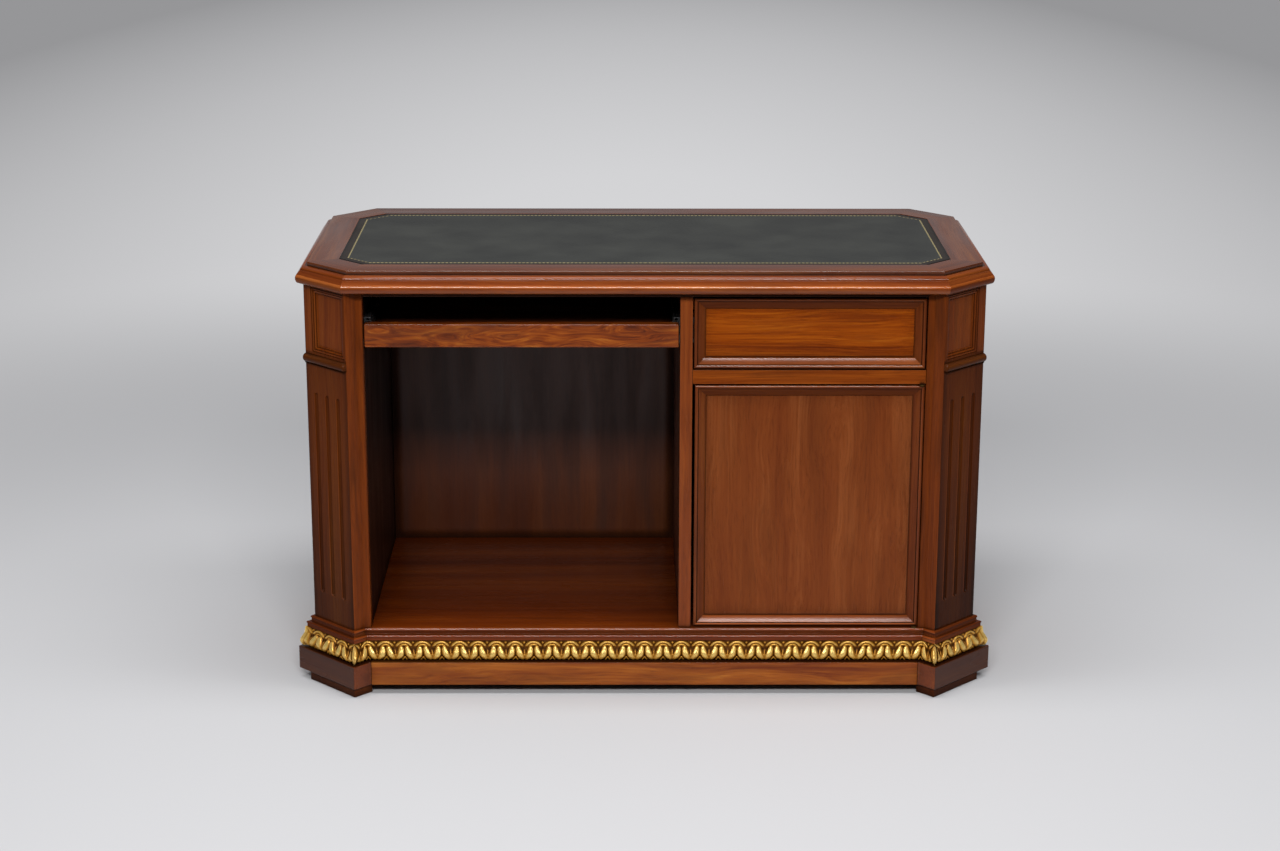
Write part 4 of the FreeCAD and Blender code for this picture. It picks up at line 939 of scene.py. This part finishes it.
def giltBase(share):
    # plain section, foot to top, by the share of its length: offset and height of the uncarved face, in mm
    length = np.concatenate([[0], np.cumsum(np.linalg.norm(np.diff(giltSection, axis=0), axis=1))])
    offset, height = (np.interp(share * length[-1], length, giltSection[:, k]) for k in (0, 1))
    return np.stack([offset, height + giltLook["low"]], -1)


def leafLength(start, end):
    # one straight length between two mitres: a whole number of units, pressed back from the plain face by the carving
    look = giltLook
    # the mitre at an arris spreads, the one at a stile narrows
    turns = [1 if k % 4 in (1, 2) else -1 for k in (start, end)]
    length = np.linalg.norm(outline[end] - outline[start]) / mm + look["faceOffset"] * (rootTwo - 1) * sum(turns)
    units = max(1, round(length / look["unit"]))
    t = np.linspace(0, 1, units * look["columns"] + 1)
    v = np.linspace(0, 1, look["rows"] + 1)
    tt, vv = np.meshgrid(t, v, indexing="ij")
    face = giltBase(v)
    x = ((tt * units) % 1 - 0.5) * look["unit"]
    y = np.broadcast_to(face[:, 1] - look["low"], vv.shape)
    relief = leafRelief(x, y)
    for turn, away in zip(turns, (tt * length, (1 - tt) * length)):
        palm, width = palmRelief(away, y)
        if turn > 0:
            relief = np.where(away < width + 1, palm, relief)
    slope = np.gradient(face, axis=0)
    normal = np.stack([slope[:, 1], -slope[:, 0]], -1)
    normal /= np.linalg.norm(normal, axis=1, keepdims=True)
    pressed = face[None] - ((1 - relief) * look["relief"])[..., None] * normal[None]
    pressed[..., 1] = np.clip(pressed[..., 1], look["low"], look["high"])
    back = np.tile(np.array([[0, look["high"]], [0, look["low"]]]), (len(t), 1, 1))
    section = np.concatenate([pressed, back], 1) * mm
    at = outline[start] + t[:, None] * (outline[end] - outline[start])
    out = mitres[start] + t[:, None] * (mitres[end] - mitres[start])
    verts = at[:, None] + section[..., :1] * out[:, None]
    verts[..., 2] = section[..., 1]
    return verts, np.concatenate([relief, np.zeros((len(t), 2))], 1)


def giltPiece(node, paths):
    shapes = []
    for path in paths:
        lengths = zip(*[leafLength(a, b) for a, b in zip(path, path[1:])])
        points, relief = (np.concatenate([part[0], *[later[1:] for later in part[1:]]]) for part in lengths)
        shapes.append((points.reshape(-1, 3), gridFaces(*relief.shape), relief.ravel()))
    verts, faces, relief = joinShapes(shapes)
    makePiece(node, "_carved", (verts, faces), gilding, "gilding", sharp=70, relief=relief)


for side, steps in runs.items():
    giltPiece("gilt_moulding_" + side, [steps])
giltPiece("gilt_moulding_corners", list(cornerRuns.values()))
print("leaves carved and gilded")

# Pieces shown as their solids, in their own finishes
for node, finish, slot in (
        ("leather_panel", leather, "leather"),
        ("drawer_slide_channels", steel, "steel"), ("drawer_slide_runners", steel, "steel"),
        ("tray_slide_channels", steel, "steel"), ("tray_slide_runners", steel, "steel"),
        ("door_hinge_leaves", brass, "brass"), ("frame_hinge_leaves", brass, "brass")):
    nodes[node].data.materials.clear()
    nodes[node].data.materials.append(finish)
print("fittings finished")

# Studio: pale floor that falls off to grey, soft light from above and in front
studio = {
    "floorRadius": 40, "paper": "#cfcfd1", "grainPerMetre": 300.0, "litTo": 1.5, "glowFrom": 3.4,  # m
    "falloff": [(0.06, "#d8d8da"), (0.24, "#d3d3d5"), (0.58, "#bbbbbd"), (0.95, "#969698")],  # shares of the reach
    "falloffReach": 12, "falloffOval": 3.1, "falloffBehind": 2,  # m; the oval is narrower by the second
    "dusk": "#7c7c7e", "duskFrom": 0.95, "duskTo": 2.4,  # floor on the viewer's side, m in front of the middle
    "air": "#d6d7da", "airSides": 0.04, "airAhead": 0.08, "airBehind": 0.46, "airAbove": 0.40, "airRise": (0.35, 0.85),
    "lamps": {  # place, aim, size, watts
        "overhead": ((0.0, -0.45, 3.2), (0, -0.2, 0.4), (3.4, 0.9), 70),
        "front": ((-0.15, -4.4, 3.4), (0, -0.3, 0.4), (2.6, 0.65), 168),
    },
    "camera": {"place": (-0.03654, -4.45256, 1.69860), "pitch": 0.2807, "yaw": 0.0066, "roll": 0.0022,
               "lens": 2500 / 1280 * 36},
}


def studioFloor():
    # matt paper that takes the shadow near the desk, and further off a glow of painted light, a grey that the eye and
    # the gloss see as written, falling off from pale to grey
    material, add = newMaterial("paperSweep")
    place = add("TexCoord", give="Object")
    grain = add("TexNoise", {"Vector": place, "Scale": studio["grainPerMetre"]}, give="Fac")
    relief = add("Bump", {"Strength": 0.02, "Distance": mm, "Height": grain})
    ahead = add("SeparateXYZ", [place], give=1)
    dusk = add("MapRange", [ahead, -studio["duskFrom"], -studio["duskTo"]], interpolation_type="SMOOTHSTEP")
    paper = add("Mix", {0: dusk, 6: linear(studio["paper"]), 7: linear(studio["dusk"])}, data_type="RGBA", give=2)
    lit = add("BsdfPrincipled", {"Base Color": paper, "Roughness": 0.85, "Specular IOR Level": 0.1, "Normal": relief})
    span = studio["falloffReach"]
    oval = add("Mapping", {"Vector": place, "Location": (0, -studio["falloffBehind"] / span, 0),
                           "Scale": (studio["falloffOval"] / span, 1 / span, 1)})
    away = add("VectorMath", [oval], operation="LENGTH", give="Value")
    colour = add("ValToRGB", [away], studio["falloff"])
    colour = add("Mix", {0: dusk, 6: colour, 7: linear(studio["dusk"])}, data_type="RGBA", give=2)
    glow = add("Emission", {"Color": colour, "Strength": 1.0})
    reach = add("VectorMath", [place], operation="LENGTH", give="Value")
    share = add("MapRange", [reach, studio["litTo"], studio["glowFrom"]], interpolation_type="SMOOTHSTEP")
    path = add("LightPath").node.outputs
    seen = add("Math", [path["Is Camera Ray"], path["Is Glossy Ray"]], operation="MAXIMUM")
    seen = add("Math", [seen, path["Is Transmission Ray"]], operation="MAXIMUM")
    share = add("Math", [share, seen], operation="MULTIPLY")
    add("OutputMaterial", {"Surface": add("MixShader", [share, lit, glow])})
    # disc of the floor: radius times cosine and sine of the angle
    angle = np.linspace(0, 2 * math.pi, 65)[:-1]
    ring = np.stack([np.cos(angle), np.sin(angle), 0 * angle], 1) * studio["floorRadius"]
    mesh = bpy.data.meshes.new("studioFloor")
    mesh.from_pydata(ring.tolist(), [], [list(range(64))])
    mesh.materials.append(material)
    floor = bpy.data.objects.new("studioFloor", mesh)
    bpy.context.scene.collection.objects.link(floor)


def studioLight():
    world = bpy.data.worlds.new("studioAir")
    bpy.context.scene.world = world
    world.use_nodes = True
    world.node_tree.nodes.clear()
    add = partial(addNode, world.node_tree)
    # bright sweep behind, dimmer room in front, darker flags at the sides
    toward = add("SeparateXYZ", [add("TexCoord", give="Generated")]).node.outputs
    depth = add("MapRange", [toward[1], -1.0, 1.0, studio["airAhead"], studio["airBehind"]])
    aside = add("Math", [toward[0], 2.0], operation="POWER")
    around = add("Mix", {0: aside, 2: depth, 3: studio["airSides"]})
    upper = add("MapRange", [toward[2], *studio["airRise"]], interpolation_type="SMOOTHSTEP")
    strength = add("Mix", {0: upper, 2: around, 3: studio["airAbove"]})
    add("OutputWorld", {"Surface": add("Background", {"Color": linear(studio["air"]), "Strength": strength})})
    for name, (place, aim, size, watts) in studio["lamps"].items():
        lamp = bpy.data.lights.new(name, "AREA")
        lamp.shape = "RECTANGLE"
        lamp.size, lamp.size_y = size
        lamp.energy = watts
        holder = bpy.data.objects.new(name, lamp)
        holder.location = place
        holder.rotation_euler = (Vector(aim) - Vector(place)).to_track_quat("-Z", "Y").to_euler()
        bpy.context.scene.collection.objects.link(holder)


def studioCamera():
    look = studio["camera"]
    lens = bpy.data.cameras.new("camera")
    lens.sensor_fit, lens.sensor_width, lens.lens = "HORIZONTAL", 36, look["lens"]
    lens.clip_end = 200
    camera = bpy.data.objects.new("camera", lens)
    turn = (Matrix.Rotation(-look["yaw"], 4, "Z") @ Matrix.Rotation(math.pi / 2 - look["pitch"], 4, "X")
            @ Matrix.Rotation(look["roll"], 4, "Z"))
    camera.matrix_world = Matrix.Translation(look["place"]) @ turn
    bpy.context.scene.collection.objects.link(camera)
    bpy.context.scene.camera = camera


studioFloor()
studioLight()
studioCamera()
bpy.context.scene.view_settings.view_transform = "Standard"
print("studio set")
